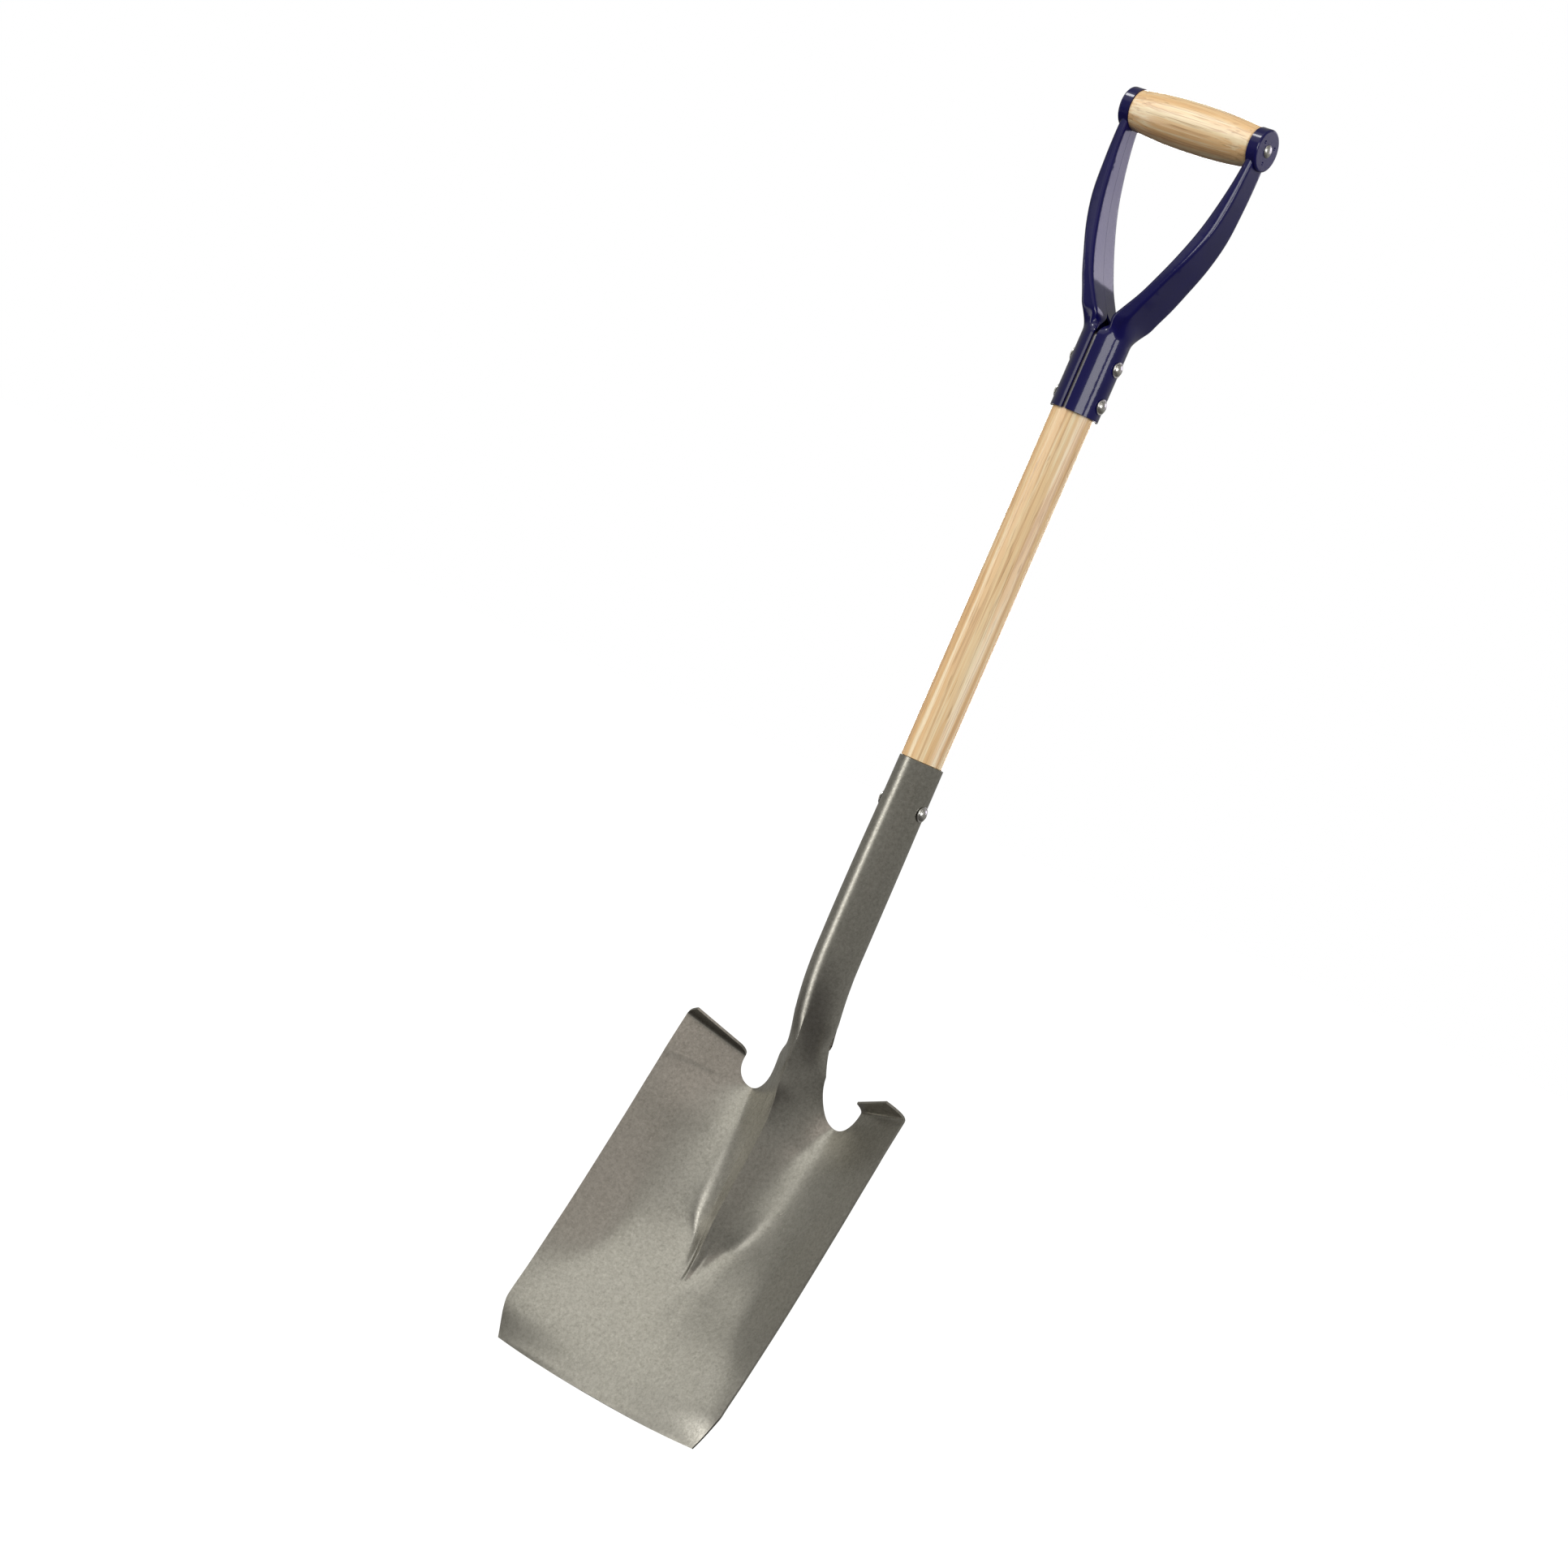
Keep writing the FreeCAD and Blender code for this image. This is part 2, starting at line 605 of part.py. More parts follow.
def box_path(q, h):
    """Half of the arm's box section: web middle (q = 0) round to the seam (q = 1)."""
    out_x = table(ARM_OUT_X, h)
    in_x = table(ARM_IN_X, h)
    half = 0.5 * table(ARM_WIDTH, h)
    depth = out_x - in_x
    big = min(table(FRONT_CORNER, h), 0.5 * depth)
    small = min(BACK_CORNER, BACK_CORNER_SHARE * depth)
    arc = 0.5 * math.pi
    if q < WEB_END:
        return out_x, mix(0.0, half - big, q / WEB_END)
    if q < FRONT_CORNER_END:
        a = arc * (q - WEB_END) / (FRONT_CORNER_END - WEB_END)
        return out_x - big + big * math.cos(a), half - big + big * math.sin(a)
    if q < SIDE_END:
        along = (q - FRONT_CORNER_END) / (SIDE_END - FRONT_CORNER_END)
        return mix(out_x - big, in_x + small, along), half
    if q < BACK_CORNER_END:
        a = arc * (q - SIDE_END) / (BACK_CORNER_END - SIDE_END)
        return in_x + small - small * math.sin(a), half - small + small * math.cos(a)
    return in_x, mix(half - small, SEAM_GAP_HALF, (q - BACK_CORNER_END) / (1.0 - BACK_CORNER_END))


def yoke_skin(side):
    """Outer skin of a yoke half; t runs from the ferrule's edge up into the cup's rim."""
    lean = math.acos(SPLIT / FERRULE_R)
    tuck = CUP_R - CUP_TUCK

    def point(t, q):
        a = abs(q)
        y_top = box_path(a, ARM_TOP)[1]
        top = AXIS_TO_SOCKET - math.sqrt(tuck * tuck - y_top * y_top)
        lift = ease(t, CUP_LIFT_START, 1.0)
        h = mix(FERRULE_BOTTOM, ARM_TOP, t)
        h = h + (top - ARM_TOP) * lift
        hand = 1.0 if q >= 0 else -1.0
        rx = FERRULE_R * math.cos(lean * a)
        ry = FERRULE_R * math.sin(lean * a)
        k = ease(h, ARM_START, ARM_FORMED)
        if k > 0:
            bx, by = box_path(a, h)
            rx = rx + (table(ARM_OUT_X, h) - FERRULE_R) * (1.0 - a)
            rx = mix(rx, bx, k)
            ry = mix(ry, by, k)
        return FreeCAD.Vector(side * rx, hand * ry, SOCKET_Z + h)
    return point


def cup(side):
    """Round cup that holds one end of the grip bar, opening inward."""
    disc = Part.makeCylinder(CUP_R, CUP_DEPTH, FreeCAD.Vector(CUP_FACE_X - CUP_DEPTH, 0, GRIP_AXIS_Z),
                             FreeCAD.Vector(1, 0, 0))
    brim = [e for e in disc.Edges if abs(e.CenterOfMass.x - CUP_FACE_X) < 0.01 and e.Length > 50]
    disc = disc.makeFillet(CUP_BRIM_R, brim)
    room = Part.makeCylinder(CUP_R - CUP_WALL, CUP_DEPTH - CUP_WALL,
                             FreeCAD.Vector(CUP_FACE_X - CUP_DEPTH, 0, GRIP_AXIS_Z),
                             FreeCAD.Vector(1, 0, 0))
    shape = disc.cut(room)
    for turn in DIMPLE_TURNS:
        a = math.radians(turn)
        y = DIMPLE_RING * math.cos(a)
        z = GRIP_AXIS_Z + DIMPLE_RING * math.sin(a)
        pit = Part.makeCone(DIMPLE_TIP_R, DIMPLE_R, DIMPLE_DEPTH + 0.01,
                            FreeCAD.Vector(CUP_FACE_X - DIMPLE_DEPTH, y, z), FreeCAD.Vector(1, 0, 0))
        shape = shape.cut(pit)
    rod_hole = Part.makeCylinder(GRIP_ROD_R + HAIR, 20, FreeCAD.Vector(CUP_FACE_X - 10, 0, GRIP_AXIS_Z),
                                 FreeCAD.Vector(1, 0, 0))
    shape = shape.cut(rod_hole)
    if side < 0:
        shape = shape.mirror(FreeCAD.Vector(0, 0, 0), FreeCAD.Vector(1, 0, 0))
    return shape


def build_yoke(side):
    skin = yoke_skin(side)
    rises = spread(0.0, 1.0, 57)
    qs = spread(-1.0, 1.0, 81)
    points, normals = face_grid(skin, rises, qs)
    middle = normals[0][len(qs) // 2]
    inward = -1.0 if middle.x * side > 0 else 1.0
    inner = shifted(points, normals, inward * YOKE_SHEET)
    faces = sheet_faces(spline_face(points), spline_face(inner), ("u0", "u1", "v0", "v1"))
    arm = sewn_solid(faces, 0.02)
    shape = arm.fuse(cup(side))
    for h in FERRULE_RIVETS:
        shape = shape.cut(rivet_bore(h))
    return shape


# ---- turned and headed parts --------------------------------------------------
def lathe(outline):
    """Revolve an (x, r) outline, closed to the axis at both ends, about the X axis."""
    points = [FreeCAD.Vector(x, 0, r) for x, r in outline]
    points = [FreeCAD.Vector(outline[0][0], 0, 0)] + points + [FreeCAD.Vector(outline[-1][0], 0, 0)]
    wire = Part.makePolygon(points + [points[0]])
    return Part.Face(wire).revolve(FreeCAD.Vector(0, 0, 0), FreeCAD.Vector(1, 0, 0), 360)


def build_grip():
    """Turned bar with a belly, round shoulders and a tenon in each cup."""
    reach = CUP_FACE_X - CUP_DEPTH - HAIR * 4
    tenon = CUP_FACE_X - CUP_WALL - TENON_END_GAP
    tenon_r = CUP_R - CUP_WALL - TENON_SIDE_GAP
    belly = []
    for x in spread(-reach + GRIP_SHOULDER, reach - GRIP_SHOULDER, 15):
        u = abs(x) / (reach - GRIP_SHOULDER)
        radius = GRIP_END_R + (GRIP_MID_R - GRIP_END_R) * (1.0 - u ** GRIP_BELLY_POWER)
        belly.append(FreeCAD.Vector(x, 0, radius))
    top = Part.BSplineCurve()
    top.interpolate(belly)
    left = belly[0]
    right = belly[-1]
    corners = [
        right,
        FreeCAD.Vector(reach, 0, GRIP_END_R - GRIP_SHOULDER),
        FreeCAD.Vector(reach, 0, tenon_r),
        FreeCAD.Vector(tenon, 0, tenon_r),
        FreeCAD.Vector(tenon, 0, GRIP_ROD_R + HAIR),
        FreeCAD.Vector(-tenon, 0, GRIP_ROD_R + HAIR),
        FreeCAD.Vector(-tenon, 0, tenon_r),
        FreeCAD.Vector(-reach, 0, tenon_r),
        FreeCAD.Vector(-reach, 0, GRIP_END_R - GRIP_SHOULDER),
        left,
    ]
    edges = [top.toShape()]
    for a, b in zip(corners[:-1], corners[1:]):
        edges.append(Part.makeLine(a, b))
    wire = Part.Wire(Part.__sortEdges__(edges))
    bar = Part.Face(wire).revolve(FreeCAD.Vector(0, 0, 0), FreeCAD.Vector(1, 0, 0), 360)
    bar.translate(FreeCAD.Vector(0, 0, GRIP_AXIS_Z))
    return bar


def domed_pin(half_length, pin_r, head_r, head_h, height):
    """Solid rivet along X with a domed head on both ends."""
    outline = []
    for i in range(7):
        a = 0.5 * math.pi * i / 6.0
        outline.append((-half_length - head_h * math.cos(a), head_r * math.sin(a)))
    outline.append((-half_length, pin_r))
    outline.append((half_length, pin_r))
    for i in range(7):
        a = 0.5 * math.pi * (1.0 - i / 6.0)
        outline.append((half_length + head_h * math.cos(a), head_r * math.sin(a)))
    outline = outline[1:-1]
    pin = lathe(outline)
    pin.translate(FreeCAD.Vector(0, 0, height))
    return pin


def washer(x_inner, side, height):
    foot = FreeCAD.Vector(x_inner, 0, height)
    ring = Part.makeCylinder(WASHER_R, WASHER_T, foot, FreeCAD.Vector(1, 0, 0))
    hole = Part.makeCylinder(RIVET_R + HAIR, 20, FreeCAD.Vector(x_inner - 5, 0, height),
                             FreeCAD.Vector(1, 0, 0))
    rim = [e for e in ring.Edges if abs(e.CenterOfMass.x - x_inner - WASHER_T) < 0.01 and e.Length > 20]
    ring = ring.makeFillet(WASHER_ROUND, rim).cut(hole)
    if side < 0:
        ring = ring.mirror(FreeCAD.Vector(0, 0, 0), FreeCAD.Vector(1, 0, 0))
    return ring


def build_shaft():
    """Ash shaft: domed top, straight body, tapered foot turned down for the socket."""
    neck = SOCKET_R - SHEET - SHAFT_FIT
    body = Part.makeCylinder(SHAFT_R, SHAFT_TOP - SHAFT_DOME - SHAFT_STEP,
                             FreeCAD.Vector(0, 0, SOCKET_Z + SHAFT_STEP))
    dome_pts = []
    for i in range(9):
        a = 0.5 * math.pi * i / 8.0
        rise = SHAFT_DOME * (math.sin(a) - 1.0)
        dome_pts.append(FreeCAD.Vector(SHAFT_R * math.cos(a), 0, SOCKET_Z + SHAFT_TOP + rise))
    base = FreeCAD.Vector(0, 0, SOCKET_Z + SHAFT_TOP - SHAFT_DOME)
    curve = Part.BSplineCurve()
    curve.interpolate(dome_pts)
    wire = Part.Wire([Part.makeLine(base, dome_pts[0]), curve.toShape(), Part.makeLine(dome_pts[-1], base)])
    dome = Part.Face(wire).revolve(FreeCAD.Vector(0, 0, 0), FreeCAD.Vector(0, 0, 1), 360)
    foot = Part.makeCone(SHAFT_FOOT_R, neck, SHAFT_BURIED + SHAFT_STEP,
                         FreeCAD.Vector(0, 0, SOCKET_Z - SHAFT_BURIED))
    shape = body.fuse(dome).fuse(foot).removeSplitter()
    for h in FERRULE_RIVETS + (SOCKET_RIVET,):
        shape = shape.cut(rivet_bore(h))
    return shape


def build_rivets():
    pieces = {}
    for name, h, seat in (("ferrule_rivet_upper", FERRULE_RIVETS[0], FERRULE_R),
                          ("ferrule_rivet_lower", FERRULE_RIVETS[1], FERRULE_R),
                          ("socket_rivet", SOCKET_RIVET, SOCKET_SEAT)):
        z = SOCKET_Z + h
        seat = seat + HAIR
        short = name.replace("_rivet", "_washer")
        pieces[name] = domed_pin(seat + WASHER_T + HAIR, RIVET_R, RIVET_HEAD_R, RIVET_HEAD_H, z)
        pieces[short + "_right"] = washer(seat, 1.0, z)
        pieces[short + "_left"] = washer(seat, -1.0, z)
    pieces["grip_rod"] = domed_pin(CUP_FACE_X + HAIR, GRIP_ROD_R, GRIP_ROD_HEAD_R,
                                   GRIP_ROD_HEAD_H, GRIP_AXIS_Z)
    return pieces


os.makedirs("parts", exist_ok=True)
nodes = {
    "blade": build_blade().cut(rivet_bore(SOCKET_RIVET)),
    "shaft": build_shaft(),
    "yoke_left": build_yoke(-1.0),
    "yoke_right": build_yoke(1.0),
    "grip": build_grip(),
}
nodes.update(build_rivets())
for name, shape in nodes.items():
    box = shape.BoundBox
    print(name, shape.ShapeType, "solids", len(shape.Solids), "valid", shape.isValid(),
          "volume", round(shape.Volume), "x", round(box.XMin, 1), round(box.XMax, 1),
          "y", round(box.YMin, 1), round(box.YMax, 1), "z", round(box.ZMin, 1), round(box.ZMax, 1))
    shape.exportStep(os.path.join("parts", name + ".step"))
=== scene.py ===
import math

import bmesh
import bpy
from mathutils import Matrix, Vector


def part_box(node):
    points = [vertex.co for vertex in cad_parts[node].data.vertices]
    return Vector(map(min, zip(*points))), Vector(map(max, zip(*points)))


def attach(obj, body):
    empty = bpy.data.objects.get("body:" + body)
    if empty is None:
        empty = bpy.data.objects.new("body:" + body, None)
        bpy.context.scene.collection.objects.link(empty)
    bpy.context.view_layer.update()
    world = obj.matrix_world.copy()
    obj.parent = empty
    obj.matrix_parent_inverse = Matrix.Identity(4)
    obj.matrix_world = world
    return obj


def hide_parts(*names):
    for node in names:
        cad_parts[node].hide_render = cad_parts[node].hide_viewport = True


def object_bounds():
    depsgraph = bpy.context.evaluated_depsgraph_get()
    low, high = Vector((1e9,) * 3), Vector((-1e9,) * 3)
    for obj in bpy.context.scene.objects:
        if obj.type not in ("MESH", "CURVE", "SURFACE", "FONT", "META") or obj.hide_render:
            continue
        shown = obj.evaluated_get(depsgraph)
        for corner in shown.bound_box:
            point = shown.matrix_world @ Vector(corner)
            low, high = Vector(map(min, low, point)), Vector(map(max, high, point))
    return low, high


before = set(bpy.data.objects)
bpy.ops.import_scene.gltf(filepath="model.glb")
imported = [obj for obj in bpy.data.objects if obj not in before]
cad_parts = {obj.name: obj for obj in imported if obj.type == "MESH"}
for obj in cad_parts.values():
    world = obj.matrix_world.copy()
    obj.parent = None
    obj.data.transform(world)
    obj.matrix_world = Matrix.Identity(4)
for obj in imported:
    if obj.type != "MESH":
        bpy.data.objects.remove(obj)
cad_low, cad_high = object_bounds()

MM = 0.001
BODY = "root"
EDGE_SOFTENING = 0.35      # width of the bevel on every sharp edge, millimetres
EDGE_ANGLE = 50.0          # edges sharper than this are softened, degrees
MERGE_WITHIN = 0.02        # seam points nearer than this become one, millimetres
TURNED_SIDES = 128         # facets round a turned piece

# ---- places read from the frame (millimetres) -----------------------------------
blade_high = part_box("blade")[1]
shaft_low, shaft_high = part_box("shaft")
grip_low, grip_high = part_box("grip")
yoke_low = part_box("yoke_right")[0]
SOCKET_Z = blade_high.z / MM            # top of the blade's socket
SHAFT_R = shaft_high.x / MM
SHAFT_TOP_Z = shaft_high.z / MM
SHAFT_FOOT_Z = shaft_low.z / MM
GRIP_AXIS_Z = 0.5 * (grip_low.z + grip_high.z) / MM
GRIP_MID_R = 0.5 * (grip_high.z - grip_low.z) / MM
GRIP_HALF = grip_high.x / MM
FERRULE_FOOT_Z = yoke_low.z / MM

# ---- blade dimensions, millimetres -----------------------------------------------
SHEET = 2.0
BLADE_HALF_W = 111.3
HEEL = 298.0
FORK = 262.0
BLADE_END = 560.8
EDGE_BOW = 5.0
SOCKET_CENTRE_Y = ((0, 0), (150, 0), (170, 0.3), (184, 1.3), (198, 3.2), (212, 6.3),
                   (222, 9.0), (234, 12.2), (250, 16.0), (262, 19.0))
SOCKET_RADIUS = ((0, 18.8), (40, 19.0), (85, 19.4), (170, 19.4), (200, 19.2), (219, 19.1),
                 (234, 19.1), (250, 19.4), (262, 20.0))
SOCKET_WRAP = ((0, 176.8), (140, 176.8), (175, 172.0), (205, 158.0), (232, 141.0), (262, 124.0))
SOCKET_FLARE = 2.4         # the socket's edges lean out by this much at the fork
CREST_Y = ((222, -10.3), (239, -7.2), (253, -5.0), (267, -3.2), (281, -1.4), (297, 0.8),
           (313, 2.8), (328, 3.3), (344, 2.4), (359, 0.8), (375, -1.5), (391, -4.6),
           (406, -8.0), (421, -11.6), (436, -14.7), (446, -16.6), (452, -18.2), (460, -20.8),
           (475, -28.4), (497, -41.0), (530, -57.5), (561, -70.5))
FACET_SLOPE = ((262, 1.20), (281, 1.12), (298, 1.0), (313, 0.80), (330, 0.62), (345, 0.54),
               (360, 0.50), (391, 0.47), (406, 0.55), (421, 0.80), (436, 1.0), (446, 0.85),
               (453, 0.45), (462, 0.0))
CREASE_X = ((262, 15.5), (281, 14.9), (298, 14.0), (330, 13.7), (345, 13.0), (360, 12.1),
            (375, 11.2), (391, 10.0), (406, 8.3), (421, 5.8), (436, 4.2), (446, 3.4), (460, 3.0))
CREASE_SOFT = ((262, 0.9), (281, 0.5), (298, 0.3), (345, 0.3), (375, 0.5), (436, 0.35),
               (446, 0.3), (462, 0.0))
CHANNEL_X = ((262, 60.0), (281, 50.0), (298, 43.0), (330, 35.0), (345, 31.8), (360, 28.6),
             (375, 25.4), (391, 22.2), (406, 19.0), (421, 15.8), (436, 12.7), (446, 10.7),
             (456, 9.5), (470, 9.0), (561, 9.0))
CHANNEL_Y = ((262, 54.0), (281, 50.0), (298, 35.4), (330, 24.0), (345, 20.8), (360, 17.4),
             (375, 13.8), (391, 9.6), (406, 5.2), (421, 0.0), (436, -7.0), (446, -12.2),
             (452, -15.4), (460, -20.0), (475, -28.4), (497, -41.0), (530, -57.5), (561, -70.5))
FILLET_SOFT = ((262, 1.4), (298, 3.2), (330, 6.0), (391, 5.6), (415, 3.6), (440, 1.8), (456, 1.4),
               (475, 3.5), (497, 5.0), (561, 4.0))
EDGE_Y = ((262, 6.0), (290, -2.8), (318, -10.7), (348, -18.8), (378, -27.5), (408, -36.4),
          (437, -45.4), (467, -55.5), (497, -65.7), (521, -74.6), (532, -77.4), (556, -78.6))
FOLD_X = ((262, 60.0), (298, 60.0), (330, 67.0), (358, 71.0), (400, 72.0), (450, 71.0),
          (497, 83.0), (530, 96.0), (556, 101.0))
FOLD_Y = ((262, 35.5), (298, 26.0), (330, 10.0), (358, 0.6), (400, -12.0), (450, -29.0),
          (497, -55.6), (530, -71.8), (556, -77.4))
FOLD_SOFT = 1.1
SEAM_X = ((298, 44.0), (330, 37.0), (360, 32.0), (391, 26.0), (421, 18.0), (436, 15.0),
          (456, 12.5), (470, 12.0), (561, 12.0))
MIDDLE_ROUND = 6.0         # keeps the pan smooth across the middle line
CREST_ROUND = ((262, 3.2), (391, 2.6), (421, 1.5), (446, 0.9))
GROOVE = ((262, 0.1), (290, 0.25), (345, 0.2), (380, 0.1), (412, 0.1), (432, 0.7), (446, 0.6),
          (456, 0.0))
GROOVE_HALF_W = 1.5        # the crease's pressed line
FOLD_FADE = 14.0           # the fold's rounding fades in over this much past the seam
CREST_REACH = 3.4          # a half section's points crowd within this of the crest,
CREST_SHARE = 0.55         # or this share of the crease's distance out if that is less
CREASE_BEFORE = 0.82       # and between these shares of it, either side of the crease
CREASE_AFTER = 1.22
EDGE_BOW_HALF_W = 103.4    # half the cutting edge's width between its corners
EDGE_BOW_POWER = 2.5
CORNER_POWER = 1.25
LIP_KNEE = 3.5             # reach of the bend at the root of a foot step
LIP_KNEE_SHARE = 0.3       # and its most, as a share of the step's rise
LEG_TOP_HALF_W = 24.2      # half the width over the socket's legs at the fork
LEG_TAPER = 0.24           # above the fork they close by this much per millimetre
HEEL_RISE = 0.30           # the shoulders lean back this much per millimetre of height
BLEND_START = 218.0        # the round socket begins to turn into the frog here
MATCH_START = 100.0        # from here down its points are spaced to suit the frog
LIP_INNER = ((59.8, 277.4), (60.2, 18.0, 269.9))
LIP_OUTER = ((111.3, 264.3), (96.9, -6.2, 256.5))
CORNER_START = 529.0       # the side edges turn in to the bottom corners here
CORNER_RUN = 26.5
CORNER_CUT = 8.0
SECTION_STOPS = (0.18, 0.38, 0.58)      # shares of a half section at its inner three points
LIP_ROOT_BACK = 0.97       # the step's root direction is taken from here to the heel's end


# ---- small maths ----------------------------------------------------------------
def table(stations, x):
    """Smooth curve through (x, y) stations, held flat past both ends."""
    if x <= stations[0][0]:
        return stations[0][1]
    if x >= stations[-1][0]:
        return stations[-1][1]
    last = len(stations) - 1
    for i in range(last):
        x0, y0 = stations[i]
        x1, y1 = stations[i + 1]
        if x <= x1:
            break
    run = x1 - x0
    chord = (y1 - y0) / run
    before = chord
    after = chord
    if i > 0:
        px, py = stations[i - 1]
        before = ((y0 - py) / (x0 - px) * run + chord * (x0 - px)) / (run + x0 - px)
    if i < last - 1:
        nx, ny = stations[i + 2]
        after = (chord * (nx - x1) + (ny - y1) / (nx - x1) * run) / (run + nx - x1)
    t = (x - x0) / run
    h00 = 2 * t ** 3 - 3 * t ** 2 + 1
    h10 = t ** 3 - 2 * t ** 2 + t
    h01 = 3 * t ** 2 - 2 * t ** 3
    h11 = t ** 3 - t ** 2
    return h00 * y0 + h10 * run * before + h01 * y1 + h11 * run * after


def ease(x, start, end):
    """0 before start, 1 after end, smooth between."""
    t = min(1.0, max(0.0, (x - start) / (end - start)))
    return t * t * (3 - 2 * t)


def mix(a, b, t):
    return a + (b - a) * t


def spread(start, end, count):
    return [mix(start, end, i / (count - 1.0)) for i in range(count)]


# ---- camera ----------------------------------------------------------------------
CAMERA_PLACE = Vector((1.5889, -2.7732, -0.5052))      # metres; angles in degrees
CAMERA_AZIMUTH = 31.5
CAMERA_ELEVATION = 1.5
CAMERA_ROLL = 23.5
CAMERA_LENS = 91.73        # and sensor width, millimetres
SENSOR_WIDTH = 36.0
FAR_CLIP = 60.0


def build_camera():
    a = math.radians(CAMERA_AZIMUTH)
    e = math.radians(CAMERA_ELEVATION)
    r = math.radians(CAMERA_ROLL)
    back = Vector((math.sin(a) * math.cos(e), -math.cos(a) * math.cos(e), math.sin(e)))
    right = Vector((math.cos(a), math.sin(a), 0.0))
    up = back.cross(right)
    across = right * math.cos(r) + up * math.sin(r)
    upward = up * math.cos(r) - right * math.sin(r)
    data = bpy.data.cameras.new("camera")
    data.lens = CAMERA_LENS
    data.sensor_width = SENSOR_WIDTH
    data.clip_end = FAR_CLIP
    camera = bpy.data.objects.new("camera", data)
    turn = Matrix((across, upward, back)).transposed().to_4x4()
    camera.matrix_world = Matrix.Translation(CAMERA_PLACE) @ turn
    bpy.context.scene.collection.objects.link(camera)
    bpy.context.scene.camera = camera


# ---- node helper ------------------------------------------------------------------
class Nodes:
    """Short calls for building one shader tree."""

    def __init__(self, tree):
        self.tree = tree
        tree.nodes.clear()

    def add(self, kind, **settings):
        node = self.tree.nodes.new(kind)
        for key, value in settings.items():
            setattr(node, key, value)
        return node

    def link(self, a, b):
        self.tree.links.new(a, b)

    def feed(self, socket, value):
        if isinstance(value, bpy.types.NodeSocket):
            self.link(value, socket)
        else:
            socket.default_value = value

    def math(self, operation, a, b=None):
        node = self.add("ShaderNodeMath", operation=operation)
        self.feed(node.inputs[0], a)
        if b is not None:
            self.feed(node.inputs[1], b)
        return node.outputs[0]

    def place(self, scale):
        """Object coordinates, stretched by scale, in 1/m."""
        coords = self.add("ShaderNodeTexCoord")
        mapping = self.add("ShaderNodeMapping")
        mapping.inputs["Scale"].default_value = scale
        self.link(coords.outputs["Object"], mapping.inputs["Vector"])
        return mapping.outputs["Vector"]

    def height(self):
        """Object Z in metres."""
        split = self.add("ShaderNodeSeparateXYZ")
        self.link(self.place((1.0, 1.0, 1.0)), split.inputs[0])
        return split.outputs["Z"]

    def noise(self, vector, scale=1.0, detail=2.0, rough=0.5, distortion=0.0):
        node = self.add("ShaderNodeTexNoise")
        self.link(vector, node.inputs["Vector"])
        node.inputs["Scale"].default_value = scale
        node.inputs["Detail"].default_value = detail
        node.inputs["Roughness"].default_value = rough
        node.inputs["Distortion"].default_value = distortion
        return node.outputs["Fac"]

    def ramp(self, value, stops):
        node = self.add("ShaderNodeValToRGB")
        self.link(value, node.inputs["Fac"])
        elements = node.color_ramp.elements
        while len(elements) < len(stops):
            elements.new(0.5)
        for element, (position, colour) in zip(elements, stops):
            element.position = position
            element.color = (*colour, 1.0)
        return node.outputs["Color"]

    def blend(self, factor, a, b, kind="MIX"):
        node = self.add("ShaderNodeMix", data_type="RGBA", blend_type=kind)
        self.feed(node.inputs["Factor"], factor)
        for name, value in (("A", a), ("B", b)):
            if isinstance(value, tuple):
                value = (*value, 1.0)
            self.feed([s for s in node.inputs if s.name == name and s.type == "RGBA"][0], value)
        return [s for s in node.outputs if s.type == "RGBA"][0]

    def remap(self, value, from_low, from_high, low, high, kind="LINEAR"):
        node = self.add("ShaderNodeMapRange", interpolation_type=kind)
        self.feed(node.inputs["Value"], value)
        node.inputs["From Min"].default_value = from_low
        node.inputs["From Max"].default_value = from_high
        node.inputs["To Min"].default_value = low
        node.inputs["To Max"].default_value = high
        return node.outputs["Result"]

    def faded(self, angle, start, end, low, high):
        """Smooth change from low to high as an angle goes from start to end, degrees."""
        return self.remap(angle, math.radians(start), math.radians(end), low, high, "SMOOTHSTEP")

    def span(self, value, low, high):
        """Noise about 0.5 mapped to low..high."""
        return self.remap(value, 0.25, 0.75, low, high)


def new_material(name):
    material = bpy.data.materials.new(name)
    material.use_nodes = True
    nodes = Nodes(material.node_tree)
    shader = nodes.add("ShaderNodeBsdfPrincipled")
    output = nodes.add("ShaderNodeOutputMaterial")
    nodes.link(shader.outputs["BSDF"], output.inputs["Surface"])
    return material, nodes, shader


def bumped(nodes, shader, height, distance, strength=1.0):
    bump = nodes.add("ShaderNodeBump")
    bump.inputs["Distance"].default_value = distance
    bump.inputs["Strength"].default_value = strength
    nodes.link(height, bump.inputs["Height"])
    nodes.link(bump.outputs["Normal"], shader.inputs["Normal"])


